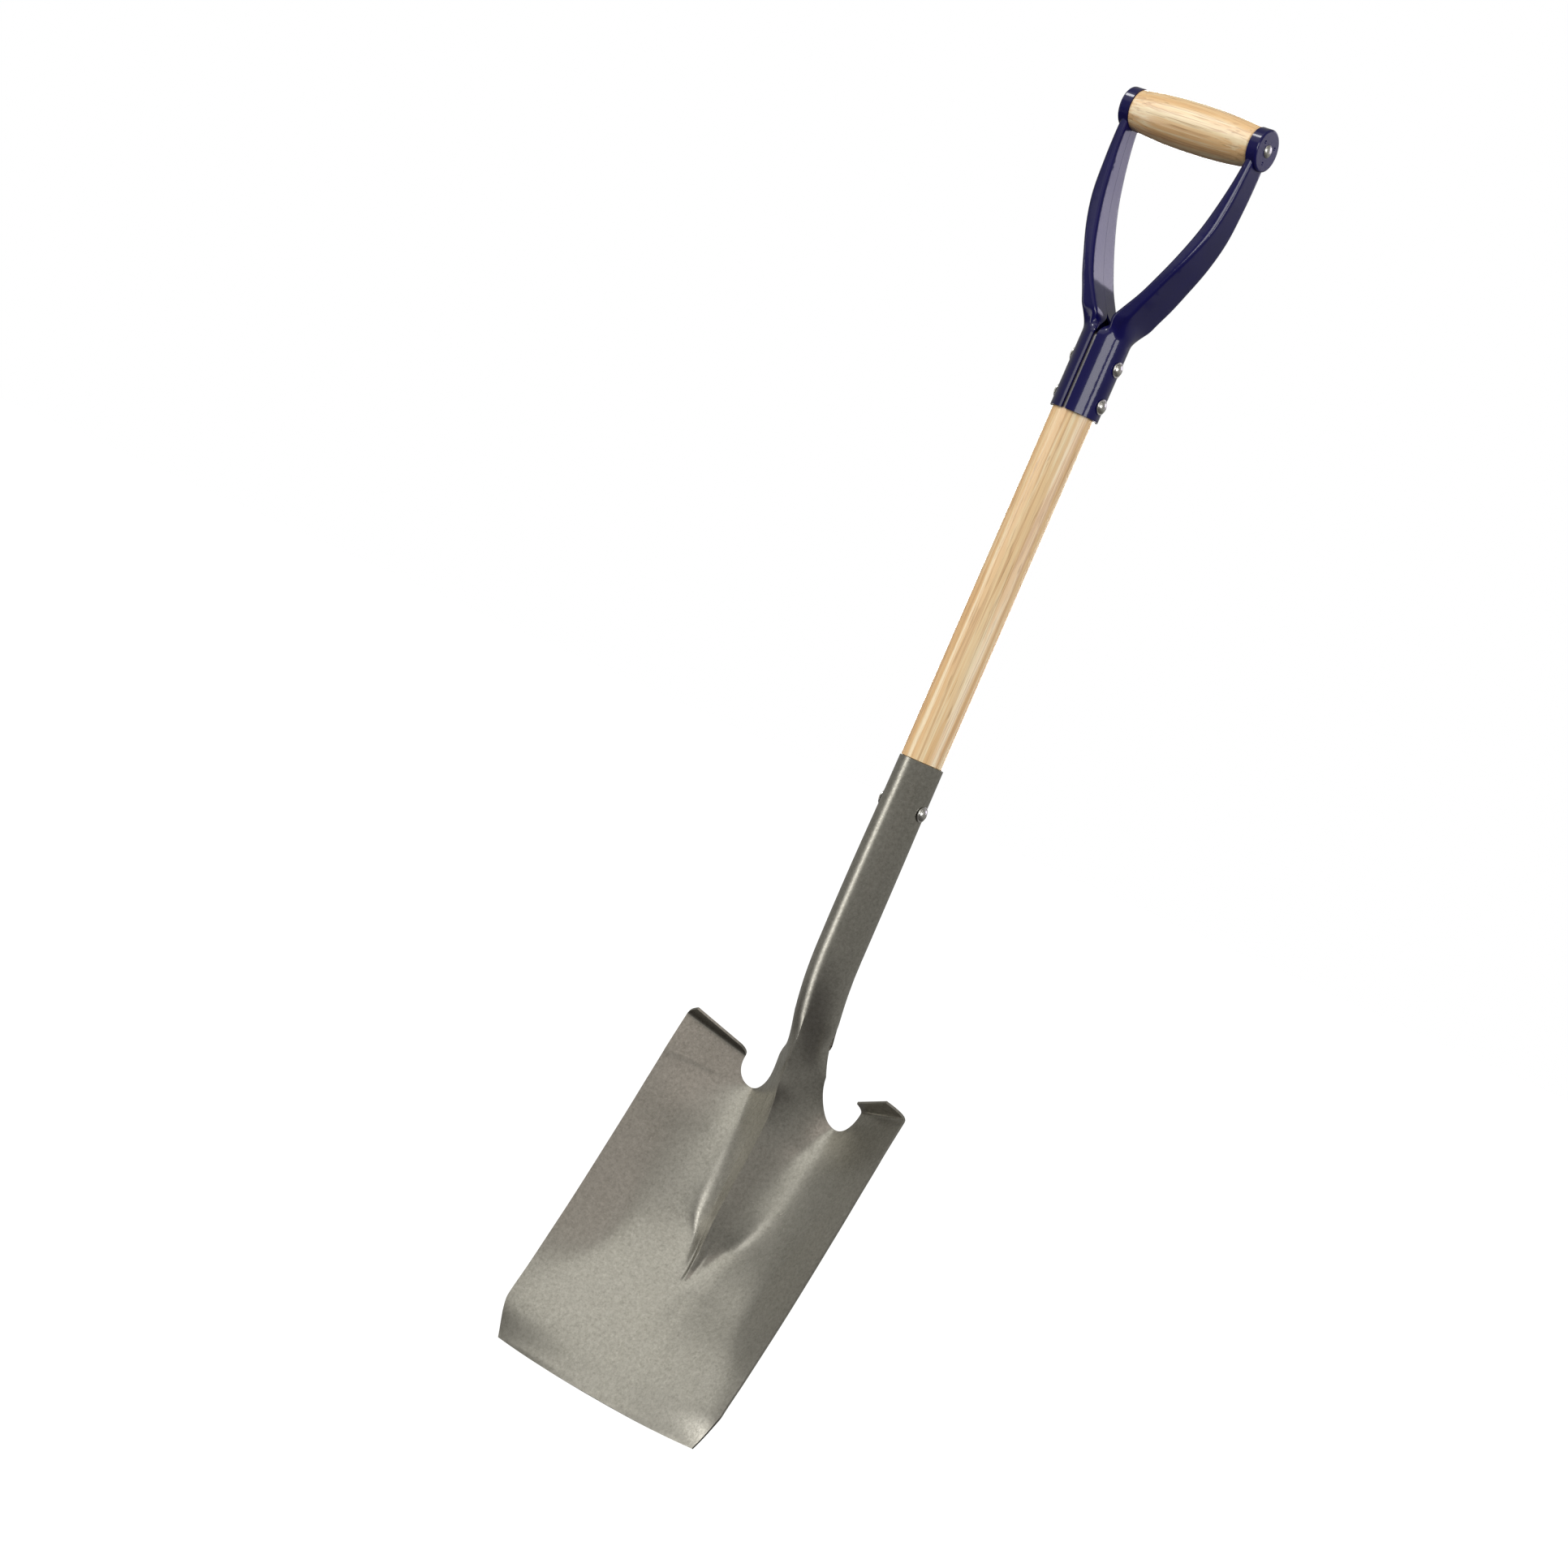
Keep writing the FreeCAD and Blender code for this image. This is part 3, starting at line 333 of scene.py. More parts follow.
# ---- materials ----------------------------------------------------------------------
def satin_steel():
    """Blade steel: satin, finely speckled, faint long marks down the stamping."""
    material, n, shader = new_material("satin_steel")
    plain = (1.0, 1.0, 1.0)
    speck = n.noise(n.place(plain), 620.0, 2.0, 0.65)
    fleck = n.noise(n.place(plain), 330.0, 3.0, 0.7)
    cloud = n.noise(n.place((1.0, 1.0, 0.6)), 30.0, 4.0, 0.55)
    marks = n.noise(n.place((420.0, 420.0, 14.0)), 1.0, 2.0, 0.5)
    base = n.blend(n.span(cloud, 0.0, 1.0), (0.425, 0.410, 0.365), (0.500, 0.485, 0.450))
    base = n.blend(n.span(speck, 0.0, 0.85), base, (0.27, 0.260, 0.230))
    base = n.blend(n.span(fleck, 0.0, 0.60), base, (0.72, 0.70, 0.65))
    base = n.blend(n.span(marks, 0.0, 0.12), base, (0.60, 0.59, 0.56))
    n.link(base, shader.inputs["Base Color"])
    shader.inputs["Metallic"].default_value = 1.0
    rough = n.math("ADD", n.span(speck, 0.24, 0.34), n.span(cloud, 0.0, 0.04))
    n.link(rough, shader.inputs["Roughness"])
    height = n.math("ADD", n.math("MULTIPLY", speck, 0.5), n.math("MULTIPLY", fleck, 0.5))
    height = n.math("ADD", height, n.math("MULTIPLY", marks, 0.3))
    bumped(n, shader, height, 0.00004, 0.7)
    return material


def lacquered_wood(name, along, seed):
    """Light ash: pale and tan streaks along the grain, short dark pores, clear lacquer; on the shaft,
    painted shade makes the wood inside the ferrule near-black.
    """
    material, n, shader = new_material(name)

    def grain(across, lengthwise):
        scale = [across, across, across]
        scale[along] = lengthwise
        vector = n.place(tuple(scale))
        shift = n.add("ShaderNodeVectorMath", operation="ADD")
        n.link(vector, shift.inputs[0])
        shift.inputs[1].default_value = (seed, seed * 0.37, seed * 0.71)
        return shift.outputs["Vector"]

    band = n.noise(grain(60.0, 2.5), 1.0, 3.0, 0.5, 0.8)
    streak = n.noise(grain(190.0, 5.0), 1.0, 3.0, 0.6, 0.6)
    line = n.noise(grain(330.0, 6.0), 1.0, 3.0, 0.6, 0.6)
    fibre = n.noise(grain(1100.0, 30.0), 1.0, 2.0, 0.6)
    pore = n.noise(grain(620.0, 22.0), 1.0, 2.0, 0.55, 1.0)
    colour = n.ramp(band, ((0.32, (0.80, 0.480, 0.215)), (0.45, (0.86, 0.560, 0.270)),
                           (0.56, (0.90, 0.630, 0.330)), (0.70, (0.96, 0.750, 0.440))))
    cream = n.ramp(streak, ((0.50, (0.0, 0.0, 0.0)), (0.60, (1.0, 1.0, 1.0))))
    colour = n.blend(n.math("MULTIPLY", cream, 0.85), colour, (1.0, 0.860, 0.580))
    brown = n.ramp(line, ((0.53, (0.0, 0.0, 0.0)), (0.60, (1.0, 1.0, 1.0))))
    colour = n.blend(n.math("MULTIPLY", brown, 0.62), colour, (0.60, 0.340, 0.160))
    colour = n.blend(n.span(fibre, 0.0, 0.35), colour, (0.72, 0.440, 0.220))
    dark = n.ramp(pore, ((0.60, (0.0, 0.0, 0.0)), (0.69, (1.0, 1.0, 1.0))))
    colour = n.blend(n.math("MULTIPLY", dark, 0.55), colour, (0.42, 0.220, 0.090))
    # Painted shade: above the ferrule's foot the shaft's wood is painted near-black, standing in for
    # the shadow seen through the ferrule's split.
    if along == 2:
        painted_ferrule_shade = n.remap(n.height(), (FERRULE_FOOT_Z - 1.0) * MM, (FERRULE_FOOT_Z + 1.0) * MM, 0.0, 1.0)
        colour = n.blend(painted_ferrule_shade, colour, (0.030, 0.022, 0.030))
    n.link(colour, shader.inputs["Base Color"])
    n.link(n.span(fibre, 0.38, 0.52), shader.inputs["Roughness"])
    shader.inputs["Coat Weight"].default_value = 0.9
    shader.inputs["Coat Roughness"].default_value = 0.16
    height = n.math("SUBTRACT", n.math("MULTIPLY", fibre, 0.4), dark)
    bumped(n, shader, height, 0.00006, 0.6)
    return material


def navy_paint():
    """Gloss navy enamel with a faint orange peel."""
    material, n, shader = new_material("navy_enamel")
    peel = n.noise(n.place((1.0, 1.0, 1.0)), 520.0, 2.0, 0.5)
    cloud = n.noise(n.place((1.0, 1.0, 1.0)), 40.0, 3.0, 0.5)
    base = n.blend(n.span(cloud, 0.0, 1.0), (0.0035, 0.0028, 0.066), (0.0050, 0.0036, 0.086))
    n.link(base, shader.inputs["Base Color"])
    n.link(n.span(cloud, 0.30, 0.38), shader.inputs["Roughness"])
    shader.inputs["Specular IOR Level"].default_value = 0.1
    shader.inputs["Coat Weight"].default_value = 1.0
    shader.inputs["Coat IOR"].default_value = 1.42
    shader.inputs["Coat Roughness"].default_value = 0.10
    bumped(n, shader, peel, 0.00001, 0.4)
    return material


def plated_steel():
    """Bright plated rivets and washers, lightly hammered and scuffed."""
    material, n, shader = new_material("plated_rivet")
    speck = n.noise(n.place((1.0, 1.0, 1.0)), 1400.0, 3.0, 0.6)
    dent = n.noise(n.place((1.0, 1.0, 1.0)), 420.0, 2.0, 0.5)
    base = n.blend(n.span(speck, 0.0, 0.6), (0.78, 0.77, 0.74), (0.50, 0.49, 0.46))
    n.link(base, shader.inputs["Base Color"])
    shader.inputs["Metallic"].default_value = 1.0
    n.link(n.span(speck, 0.20, 0.34), shader.inputs["Roughness"])
    bumped(n, shader, dent, 0.00014, 0.8)
    return material


def paint_node(name, material):
    """Gives a CAD node its finished material."""
    for material_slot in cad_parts[name].material_slots:
        material_slot.material = material


# ---- mesh helpers ---------------------------------------------------------------------
def add_piece(name, bm, material, node):
    """One finished mesh standing in for a CAD node."""
    mesh = bpy.data.meshes.new(name)
    bm.to_mesh(mesh)
    bm.free()
    for polygon in mesh.polygons:
        polygon.use_smooth = True
    mesh.materials.append(material)
    piece = bpy.data.objects.new(name, mesh)
    bpy.context.scene.collection.objects.link(piece)
    bevel = piece.modifiers.new("softened_edges", "BEVEL")
    bevel.width = EDGE_SOFTENING * MM
    bevel.segments = 2
    bevel.limit_method = "ANGLE"
    bevel.angle_limit = math.radians(EDGE_ANGLE)
    bevel.harden_normals = True
    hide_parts(node)
    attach(piece, BODY)
    return piece


def lathed(outline, segments, place):
    """Closed solid of revolution; outline runs (along, radius), place maps (along, a, b)."""
    bm = bmesh.new()
    rings = []
    for along, radius in outline:
        ring = []
        for i in range(segments):
            turn = 2.0 * math.pi * i / segments
            ring.append(bm.verts.new(place(along, radius * math.cos(turn), radius * math.sin(turn))))
        rings.append(ring)
    for low, high in zip(rings[:-1], rings[1:]):
        for i in range(segments):
            j = (i + 1) % segments
            bm.faces.new((low[i], low[j], high[j], high[i]))
    bm.faces.new(list(reversed(rings[0])))
    bm.faces.new(rings[-1])
    bmesh.ops.recalc_face_normals(bm, faces=bm.faces)
    return bm


# ---- blade ----------------------------------------------------------------------------
def on_blade(x, y, d):
    return Vector((x, y, SOCKET_Z - d))


def soft_lower(a, b, soft):
    """The lesser of two heights, rounded where they cross."""
    return 0.5 * (a + b) - math.sqrt(0.25 * (a - b) ** 2 + soft * soft)


def leg_half_width(d):
    """Free edge of the socket's legs, flaring into the round heel notch."""
    if d >= HEEL:
        return table(SEAM_X, d)
    if d <= FORK:
        return LEG_TOP_HALF_W - LEG_TAPER * (FORK - max(d, BLEND_START))
    drop = (HEEL - d) / (HEEL - FORK)
    wide = SEAM_X[0][1]
    return wide - (wide - LEG_TOP_HALF_W) * math.sqrt(1.0 - (1.0 - drop) ** 2)


def frog_y(x, d):
    """Crest, facet, crease and flank."""
    slope = table(FACET_SLOPE, d)
    crest = table(CREST_Y, d)
    crease_x = table(CREASE_X, d)
    round_r = table(CREST_ROUND, d)
    crease_y = crest + slope * (crease_x - round_r)
    facet = crest + slope * (math.sqrt(x * x + round_r * round_r) - round_r)
    rise = (table(CHANNEL_Y, d) - crease_y) / (table(CHANNEL_X, d) - crease_x)
    flank = crease_y + rise * (x - crease_x)
    groove = table(GROOVE, d) * math.exp(-((x - crease_x) / GROOVE_HALF_W) ** 2)
    return soft_lower(facet, flank, table(CREASE_SOFT, d)) + groove


def blade_y(x, d):
    """The load face from the crest to the side edge."""
    low = max(d, HEEL)
    fold_x = table(FOLD_X, low)
    fold_y = table(FOLD_Y, low)
    fall = (table(CHANNEL_Y, low) - fold_y) / (fold_x - table(CHANNEL_X, low))
    out = math.sqrt(x * x + MIDDLE_ROUND * MIDDLE_ROUND)
    pan = table(CHANNEL_Y, d) - fall * (out - table(CHANNEL_X, d))
    inner = soft_lower(frog_y(x, d), pan, table(FILLET_SOFT, d))
    if x < SEAM_X[-1][1]:
        return inner
    wall = fold_y + (table(EDGE_Y, d) - fold_y) * (x - fold_x) / (BLADE_HALF_W - fold_x)
    soft = FOLD_SOFT * ease(x, SEAM_X[-1][1], table(SEAM_X, low) + FOLD_FADE)
    return soft_lower(inner, wall, soft) + 0.5 * soft


def shoulder_y(x, d):
    """The pan carried on above the heel, beside the notches."""
    low = max(d, HEEL)
    fold_x = table(FOLD_X, low)
    fold_y = table(FOLD_Y, low)
    fall = (table(CHANNEL_Y, low) - fold_y) / (fold_x - table(CHANNEL_X, low))
    lean = (low - d) * HEEL_RISE
    out = math.sqrt(x * x + MIDDLE_ROUND * MIDDLE_ROUND)
    pan = table(CHANNEL_Y, low) + lean - fall * (out - table(CHANNEL_X, low))
    inner = soft_lower(frog_y(x, low) + lean, pan, table(FILLET_SOFT, low))
    fold_x = table(FOLD_X, d)
    fold_y = table(FOLD_Y, d)
    wall = fold_y + (table(EDGE_Y, d) - fold_y) * (x - fold_x) / (BLADE_HALF_W - fold_x)
    soft = FOLD_SOFT * ease(x, SEAM_X[-1][1], SEAM_X[0][1] + FOLD_FADE)
    return soft_lower(inner, wall, soft) + 0.5 * soft


def section_x(q, d):
    """Outward place of q, closer spaced at the crest and the crease."""
    half = leg_half_width(d)
    crease = table(CREASE_X, d)
    near = min(CREST_REACH, CREST_SHARE * crease)
    before = CREASE_BEFORE * crease
    after = min(CREASE_AFTER * crease, 0.5 * (crease + half))
    places = (near, before, after)
    stations = ((0.0, 0.0), *zip(SECTION_STOPS, places), (1.0, half))
    return table(stations, q)


def formed_section(q, d):
    """Frog section: crest to foot."""
    x = section_x(q, d)
    return x, blade_y(x, d)


def rolled_section(q, d):
    """Socket section: front to the rolled edge at the back."""
    radius = table(SOCKET_RADIUS, d)
    wrap = math.radians(table(SOCKET_WRAP, d))
    half = leg_half_width(d)
    pace = section_x(q, d) / half
    lead = half / (radius * wrap)
    matched = pace * (lead + (1.0 - lead) * pace * pace)
    angle = wrap * mix(q, matched, ease(d, MATCH_START, BLEND_START))
    flare = SOCKET_FLARE * ease(d, BLEND_START, FORK) * q ** 3
    x = radius * math.sin(angle) + flare
    y = table(SOCKET_CENTRE_Y, d) - radius * math.cos(angle)
    return x, y


def spine(q, d):
    side = 1.0 if q >= 0 else -1.0
    a = abs(q)
    if d <= BLEND_START:
        x, y = rolled_section(a, d)
    elif d >= FORK:
        x, y = formed_section(a, d)
    else:
        k = ease(d, BLEND_START, FORK)
        rx, ry = rolled_section(a, d)
        fx, fy = formed_section(a, d)
        x = mix(rx, fx, k)
        y = mix(ry, fy, k)
    return on_blade(side * x, y, d)


def edge_half_width(d):
    return BLADE_HALF_W - CORNER_CUT * max(0.0, (d - CORNER_START) / CORNER_RUN) ** CORNER_POWER


def cutting_edge(x):
    return BLADE_END - EDGE_BOW * (abs(x) / EDGE_BOW_HALF_W) ** EDGE_BOW_POWER


def frog_patch(q, t):
    """Frog and the flat below its tip, from heel notch level to the cutting edge."""
    half = table(SEAM_X, mix(HEEL, BLADE_END, t))
    end = cutting_edge(half * q)
    return spine(q, mix(HEEL, end, t))


def pan_patch(side):
    def point(s, t):
        d0 = mix(HEEL, BLADE_END, t)
        half = table(SEAM_X, d0)
        x = mix(half, edge_half_width(d0), s)
        end = cutting_edge(x)
        d = mix(HEEL, end, t)
        return on_blade(side * x, blade_y(x, d), d)
    return point


def leg_patch(q, t):
    """Flaring legs beside the heel notches; t runs down from the fork."""
    up = 1.0 - t
    crest_d = mix(HEEL, FORK, up)
    edge_d = HEEL - (HEEL - FORK) * (1.0 - math.cos(0.5 * math.pi * up))
    d = mix(crest_d, edge_d, q * q)
    return spine(q, d)


def heel_patch(side):
    """Shoulder between a heel notch and the side edge; t runs up to the step."""
    def point(s, t):
        turn = 0.5 * math.pi * t
        inner_x = mix(SEAM_X[0][1], LIP_INNER[0][0], math.sin(turn))
        inner_d = HEEL - (HEEL - LIP_INNER[0][1]) * (1.0 - math.cos(turn))
        outer_d = mix(HEEL, LIP_OUTER[0][1], t)
        x = mix(inner_x, BLADE_HALF_W, s)
        d = mix(inner_d, outer_d, s)
        return on_blade(side * x, shoulder_y(x, d), d)
    return point


def lip_patch(side):
    """Foot step turned forward along the top of the shoulder; t runs outward."""
    heel = heel_patch(side)
    ahead = on_blade(side * LIP_INNER[1][0], LIP_INNER[1][1], LIP_INNER[1][2])
    corner = on_blade(side * LIP_OUTER[1][0], LIP_OUTER[1][1], LIP_OUTER[1][2])

    def point(s, t):
        root = heel(s, 1.0)
        along = (root - heel(s, LIP_ROOT_BACK)).normalized()
        brim = ahead + (corner - ahead) * s
        rise = brim - root
        knee = root + along * min(LIP_KNEE, LIP_KNEE_SHARE * rise.length)
        a = root + (knee - root) * t
        b = knee + (brim - knee) * t
        return a + (b - a) * t
    return point


def sampled(patch, rows, columns):
    return [[patch(u, v) for v in columns] for u in rows]


def back_skin(points, back):
    """The patch shifted by the sheet's thickness along its normals."""
    last_row = len(points) - 1
    last_column = len(points[0]) - 1
    out = []
    for i, row in enumerate(points):
        shifted_row = []
        for j, point in enumerate(row):
            du = points[min(i + 1, last_row)][j] - points[max(i - 1, 0)][j]
            dv = row[min(j + 1, last_column)] - row[max(j - 1, 0)]
            normal = du.cross(dv).normalized()
            shifted_row.append(point + normal * (back * SHEET))
        out.append(shifted_row)
    return out


def blade_mesh():
    q_all = spread(-1.0, 1.0, 105)
    s_all = spread(0.0, 1.0, 45)
    rows_low = spread(0.0, 1.0, 131)
    front = {
        "socket": sampled(lambda d, q: spine(q, d), spread(0.0, FORK, 121), q_all),
        "leg": sampled(lambda t, q: leg_patch(q, t), spread(0.0, 1.0, 21), q_all),
        "frog": sampled(lambda t, q: frog_patch(q, t), rows_low, q_all),
    }
    for name, side in (("left", -1.0), ("right", 1.0)):
        pan = pan_patch(side)
        heel = heel_patch(side)
        lip = lip_patch(side)
        front["pan_" + name] = sampled(lambda t, s: pan(s, t), rows_low, s_all)
        front["heel_" + name] = sampled(lambda t, s: heel(s, t), spread(0.0, 1.0, 17), s_all)
        front["lip_" + name] = sampled(lambda t, s: lip(s, t), spread(0.0, 1.0, 11), s_all)
    back = {}
    for name, points in front.items():
        i = len(points) // 2
        j = len(points[0]) // 2
        du = points[i + 1][j] - points[i - 1][j]
        dv = points[i][j + 1] - points[i][j - 1]
        back[name] = back_skin(points, -1.0 if du.cross(dv).y < 0 else 1.0)
    for skin in (front, back):
        skin["leg"][0] = list(skin["socket"][-1])
        skin["leg"][-1] = list(skin["frog"][0])
        for name, edge in (("left", 0), ("right", -1)):
            pan = skin["pan_" + name]
            for pan_row, frog_row in zip(pan, skin["frog"]):
                pan_row[0] = frog_row[edge]
            skin["heel_" + name][0] = list(pan[0])
            skin["lip_" + name][0] = list(skin["heel_" + name][-1])

    open_sides = {
        "socket": ("top", "start", "end"),
        "leg": ("start", "end"),
        "frog": ("bottom",),
        "pan_left": ("bottom", "end"),
        "pan_right": ("bottom", "end"),
        "heel_left": ("start", "end"),
        "heel_right": ("start", "end"),
        "lip_left": ("bottom", "start", "end"),
        "lip_right": ("bottom", "start", "end"),
    }
    bm = bmesh.new()
    for name, sides in open_sides.items():
        grids = []
        for skin in (front, back):
            grid = [[bm.verts.new(p * MM) for p in row] for row in skin[name]]
            for low, high in zip(grid[:-1], grid[1:]):
                for j in range(len(low) - 1):
                    bm.faces.new((low[j], low[j + 1], high[j + 1], high[j]))
            grids.append(grid)
        for side in sides:
            if side == "top":
                lines = [grid[0] for grid in grids]
            elif side == "bottom":
                lines = [grid[-1] for grid in grids]
            elif side == "start":
                lines = [[row[0] for row in grid] for grid in grids]
            else:
                lines = [[row[-1] for row in grid] for grid in grids]
            near, far = lines
            for k in range(len(near) - 1):
                bm.faces.new((near[k], near[k + 1], far[k + 1], far[k]))
    bmesh.ops.remove_doubles(bm, verts=bm.verts, dist=MERGE_WITHIN * MM)
    bmesh.ops.recalc_face_normals(bm, faces=bm.faces)
    return bm


# ---- turned wood ------------------------------------------------------------------------
SHAFT_NECK_R = 16.65       # the turned-down end where it enters the socket
SHAFT_FOOT_R = 14.0
SHAFT_STEP = 0.4           # the full body starts this far above the socket's rim
DOME_H = 6.0
GRIP_END_R = 16.9
GRIP_BELLY_POWER = 2.2
GRIP_TENON = 6.8
GRIP_TENON_R = 15.1
GRIP_EASE = 1.2            # rounding at the ends of the bar


def shaft_mesh():
    step_z = SOCKET_Z + SHAFT_STEP
    outline = [(SHAFT_FOOT_Z, SHAFT_FOOT_R), (step_z, SHAFT_NECK_R), (step_z, SHAFT_R)]
    for z in spread(SOCKET_Z + 1.0, SHAFT_TOP_Z - DOME_H, 60):
        outline.append((z, SHAFT_R))
    for turn in spread(0.0, 0.5 * math.pi, 10)[1:-1]:
        outline.append((SHAFT_TOP_Z - DOME_H + DOME_H * math.sin(turn), SHAFT_R * math.cos(turn)))
    return lathed(outline, TURNED_SIDES, lambda along, a, b: Vector((a, b, along)) * MM)


def grip_mesh():
    reach = GRIP_HALF - GRIP_TENON
    outline = [(-GRIP_HALF, GRIP_TENON_R), (-reach, GRIP_TENON_R), (-reach, GRIP_END_R - GRIP_EASE)]
    for x in spread(-reach + GRIP_EASE, reach - GRIP_EASE, 81):
        u = abs(x) / (reach - GRIP_EASE)
        outline.append((x, GRIP_END_R + (GRIP_MID_R - GRIP_END_R) * (1.0 - u ** GRIP_BELLY_POWER)))
    outline += [(reach, GRIP_END_R - GRIP_EASE), (reach, GRIP_TENON_R), (GRIP_HALF, GRIP_TENON_R)]
    return lathed(outline, TURNED_SIDES, lambda along, a, b: Vector((along, a, b + GRIP_AXIS_Z)) * MM)


# ---- stage and light --------------------------------------------------------------
FLOOR_Z = cad_low.z - 0.12
FLOOR_HALF = 30.0
FLOOR_COLOUR = (0.25, 0.25, 0.25, 1.0)


def build_floor():
    mesh = bpy.data.meshes.new("floor")
    signs = ((-1, -1), (1, -1), (1, 1), (-1, 1))
    corners = [(sx * FLOOR_HALF, sy * FLOOR_HALF, FLOOR_Z) for sx, sy in signs]
    mesh.from_pydata(corners, [], [(0, 1, 2, 3)])
    floor = bpy.data.objects.new("floor", mesh)
    bpy.context.scene.collection.objects.link(floor)
    material = bpy.data.materials.new("pale_floor")
    material.use_nodes = True
    n = Nodes(material.node_tree)
    lit = n.add("ShaderNodeBsdfDiffuse")
    lit.inputs["Color"].default_value = FLOOR_COLOUR
    glow = n.add("ShaderNodeEmission")
    glow.inputs["Strength"].default_value = 1.0
    both = n.add("ShaderNodeAddShader")
    output = n.add("ShaderNodeOutputMaterial")
    n.link(lit.outputs[0], both.inputs[0])
    n.link(glow.outputs[0], both.inputs[1])
    n.link(both.outputs[0], output.inputs["Surface"])
    floor.data.materials.append(material)
    floor.visible_diffuse = False
    floor.visible_glossy = False


def aim(azimuth, elevation):
    """Unit vector out from the object; azimuth 0 is -Y and 90 is +X."""
    a = math.radians(azimuth)
    e = math.radians(elevation)
    return Vector((math.sin(a) * math.cos(e), -math.cos(a) * math.cos(e), math.sin(e)))


# azimuth, half width, its soft edge, lowest and highest elevation, their soft edge,
# colour, strength; all angles in degrees
SOFT_BOXES = (
    (-47.0, 3.0, 7.0, -30.0, 5.0, 9.0, (1.0, 0.985, 0.93), 2.6),
    (-28.0, 32.0, 10.0, 21.0, 80.0, 9.0, (1.0, 0.985, 0.91), 0.62),
    (37.0, 12.0, 14.0, 24.0, 50.0, 14.0, (1.0, 0.86, 0.80), 0.38),
)
SKY = (0.27, 0.265, 0.245)
GROUND = (0.10, 0.095, 0.09)
HORIZON = (-26.0, -6.0)    # the ground's colour gives way to the sky's between these

# name, azimuth, elevation, angular size (degrees), colour, strength, what it lights
SUNS = (
    ("wood_front_left", -25.0, 28.0, 50.0, (1.0, 1.0, 1.0), 1.5, "wood"),
    ("wood_front_right", 85.0, 18.0, 50.0, (1.0, 1.0, 1.0), 1.5, "wood"),
    ("wood_rim_left", -150.0, 10.0, 40.0, (1.0, 1.0, 1.0), 2.6, "wood"),
    ("wood_rim_right", 172.0, 10.0, 40.0, (1.0, 1.0, 1.0), 2.6, "wood"),
    ("paint_back", 160.0, 20.0, 26.0, (0.86, 0.80, 1.0), 0.30, "paint"),
)

# name, azimuth, elevation, width, height, how far off (metres), watts; lights the paint
STRIPS = (
    ("box_middle", 45.0, 5.0, 3.9, 2.4, 6.0, 150.0),
    ("box_right", 81.0, 5.0, 1.5, 2.4, 6.0, 60.0),
    ("cup_rims", -47.0, 44.5, 1.2, 1.0, 6.0, 60.0),
)


def build_world():
    """Even white behind the object; soft boxes and a dim surround for everything else."""
    world = bpy.data.worlds.new("studio")
    bpy.context.scene.world = world
    world.use_nodes = True
    n = Nodes(world.node_tree)
    coords = n.add("ShaderNodeTexCoord")
    split = n.add("ShaderNodeSeparateXYZ")
    n.link(coords.outputs["Generated"], split.inputs[0])
    elevation = n.math("ARCSINE", split.outputs["Z"])
    total = n.blend(n.faded(elevation, *HORIZON, 0.0, 1.0), GROUND, SKY)
    for azimuth, half, edge, lowest, highest, fade, colour, strength in SOFT_BOXES:
        turned = n.add("ShaderNodeVectorRotate", rotation_type="Z_AXIS")
        n.link(coords.outputs["Generated"], turned.inputs["Vector"])
        turned.inputs["Angle"].default_value = math.radians(-azimuth)
        parts = n.add("ShaderNodeSeparateXYZ")
        n.link(turned.outputs[0], parts.inputs[0])
        away = n.math("ABSOLUTE", n.math("ARCTAN2", parts.outputs["X"],
                                         n.math("MULTIPLY", parts.outputs["Y"], -1.0)))
        across = n.faded(away, half, half + edge, 1.0, 0.0)
        above = n.faded(elevation, lowest - fade, lowest, 0.0, 1.0)
        below = n.faded(elevation, highest, highest + fade, 1.0, 0.0)
        window = n.math("MULTIPLY", across, n.math("MULTIPLY", above, below))
        tint = n.blend(window, (0.0, 0.0, 0.0), tuple(c * strength for c in colour))
        total = n.blend(1.0, total, tint, "ADD")
    soft = n.add("ShaderNodeBackground")
    n.link(total, soft.inputs["Color"])
    plain = n.add("ShaderNodeBackground")
    plain.inputs["Color"].default_value = (1.0, 1.0, 1.0, 1.0)
    seen = n.add("ShaderNodeLightPath")
    both = n.add("ShaderNodeMixShader")
    output = n.add("ShaderNodeOutputWorld")
    n.link(seen.outputs["Is Camera Ray"], both.inputs[0])
    n.link(soft.outputs[0], both.inputs[1])
    n.link(plain.outputs[0], both.inputs[2])
    n.link(both.outputs[0], output.inputs["Surface"])


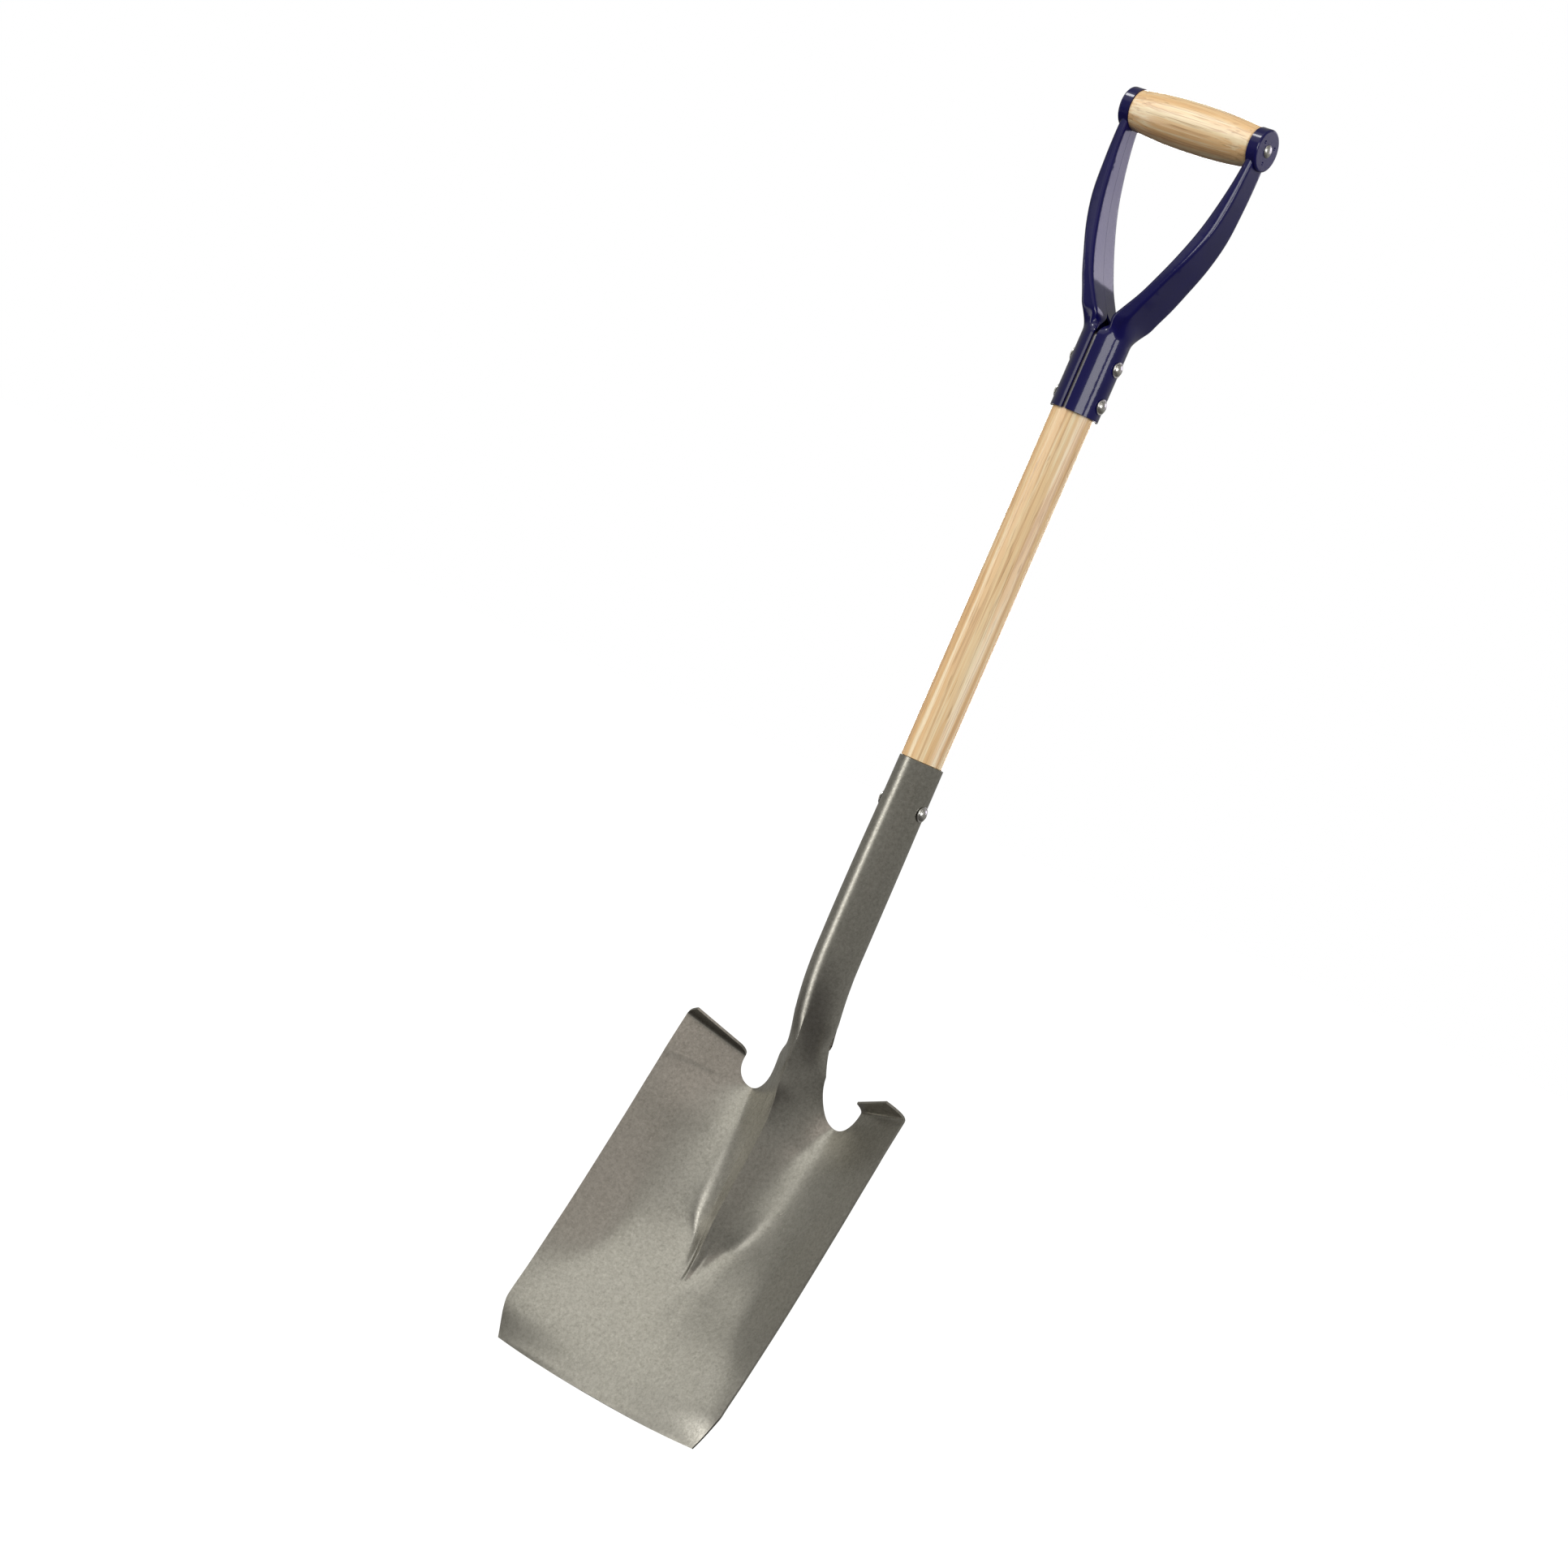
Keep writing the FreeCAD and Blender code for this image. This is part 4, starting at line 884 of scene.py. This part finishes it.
def build_suns(groups):
    """Large soft lamps, each kept to the pieces it is there for."""
    for name, azimuth, elevation, size, colour, strength, group in SUNS:
        data = bpy.data.lights.new(name, "SUN")
        data.energy = strength
        data.angle = math.radians(size)
        data.color = colour
        lamp = bpy.data.objects.new(name, data)
        bpy.context.scene.collection.objects.link(lamp)
        lamp.rotation_mode = "QUATERNION"
        lamp.rotation_quaternion = aim(azimuth, elevation).to_track_quat("Z", "Y")
        lamp.light_linking.receiver_collection = groups[group]


def build_strips(group):
    """Narrow tall lamps that draw the bright lines down the paint."""
    for name, azimuth, elevation, width, height, distance, watts in STRIPS:
        data = bpy.data.lights.new(name, "AREA")
        data.shape = "RECTANGLE"
        data.size = width
        data.size_y = height
        data.energy = watts
        lamp = bpy.data.objects.new(name, data)
        bpy.context.scene.collection.objects.link(lamp)
        away = aim(azimuth, elevation)
        lamp.location = away * distance
        lamp.rotation_mode = "QUATERNION"
        lamp.rotation_quaternion = away.to_track_quat("Z", "Y")
        lamp.light_linking.receiver_collection = group


def linked_group(name, pieces):
    group = bpy.data.collections.new(name)
    for piece in pieces:
        group.objects.link(piece)
    return group


# ---- build --------------------------------------------------------------------------
build_camera()
build_floor()
build_world()
bpy.context.scene.view_settings.view_transform = "Standard"

steel = satin_steel()
ash = lacquered_wood("lacquered_ash", 2, 3.1)
bar_wood = lacquered_wood("lacquered_grip", 0, 7.7)
navy = navy_paint()
plated = plated_steel()

add_piece("blade_stamping", blade_mesh(), steel, "blade")
shaft = add_piece("ash_shaft", shaft_mesh(), ash, "shaft")
grip = add_piece("grip_bar", grip_mesh(), bar_wood, "grip")
for node_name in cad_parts:
    if node_name.startswith("yoke"):
        paint_node(node_name, navy)
    elif "rivet" in node_name or "washer" in node_name or node_name == "grip_rod":
        paint_node(node_name, plated)
wood_pieces = linked_group("wood_pieces", (shaft, grip))
paint_pieces = linked_group("paint_pieces", [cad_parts[name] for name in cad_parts
                                             if name not in ("blade", "shaft", "grip")])
build_suns({"wood": wood_pieces, "paint": paint_pieces})
build_strips(paint_pieces)
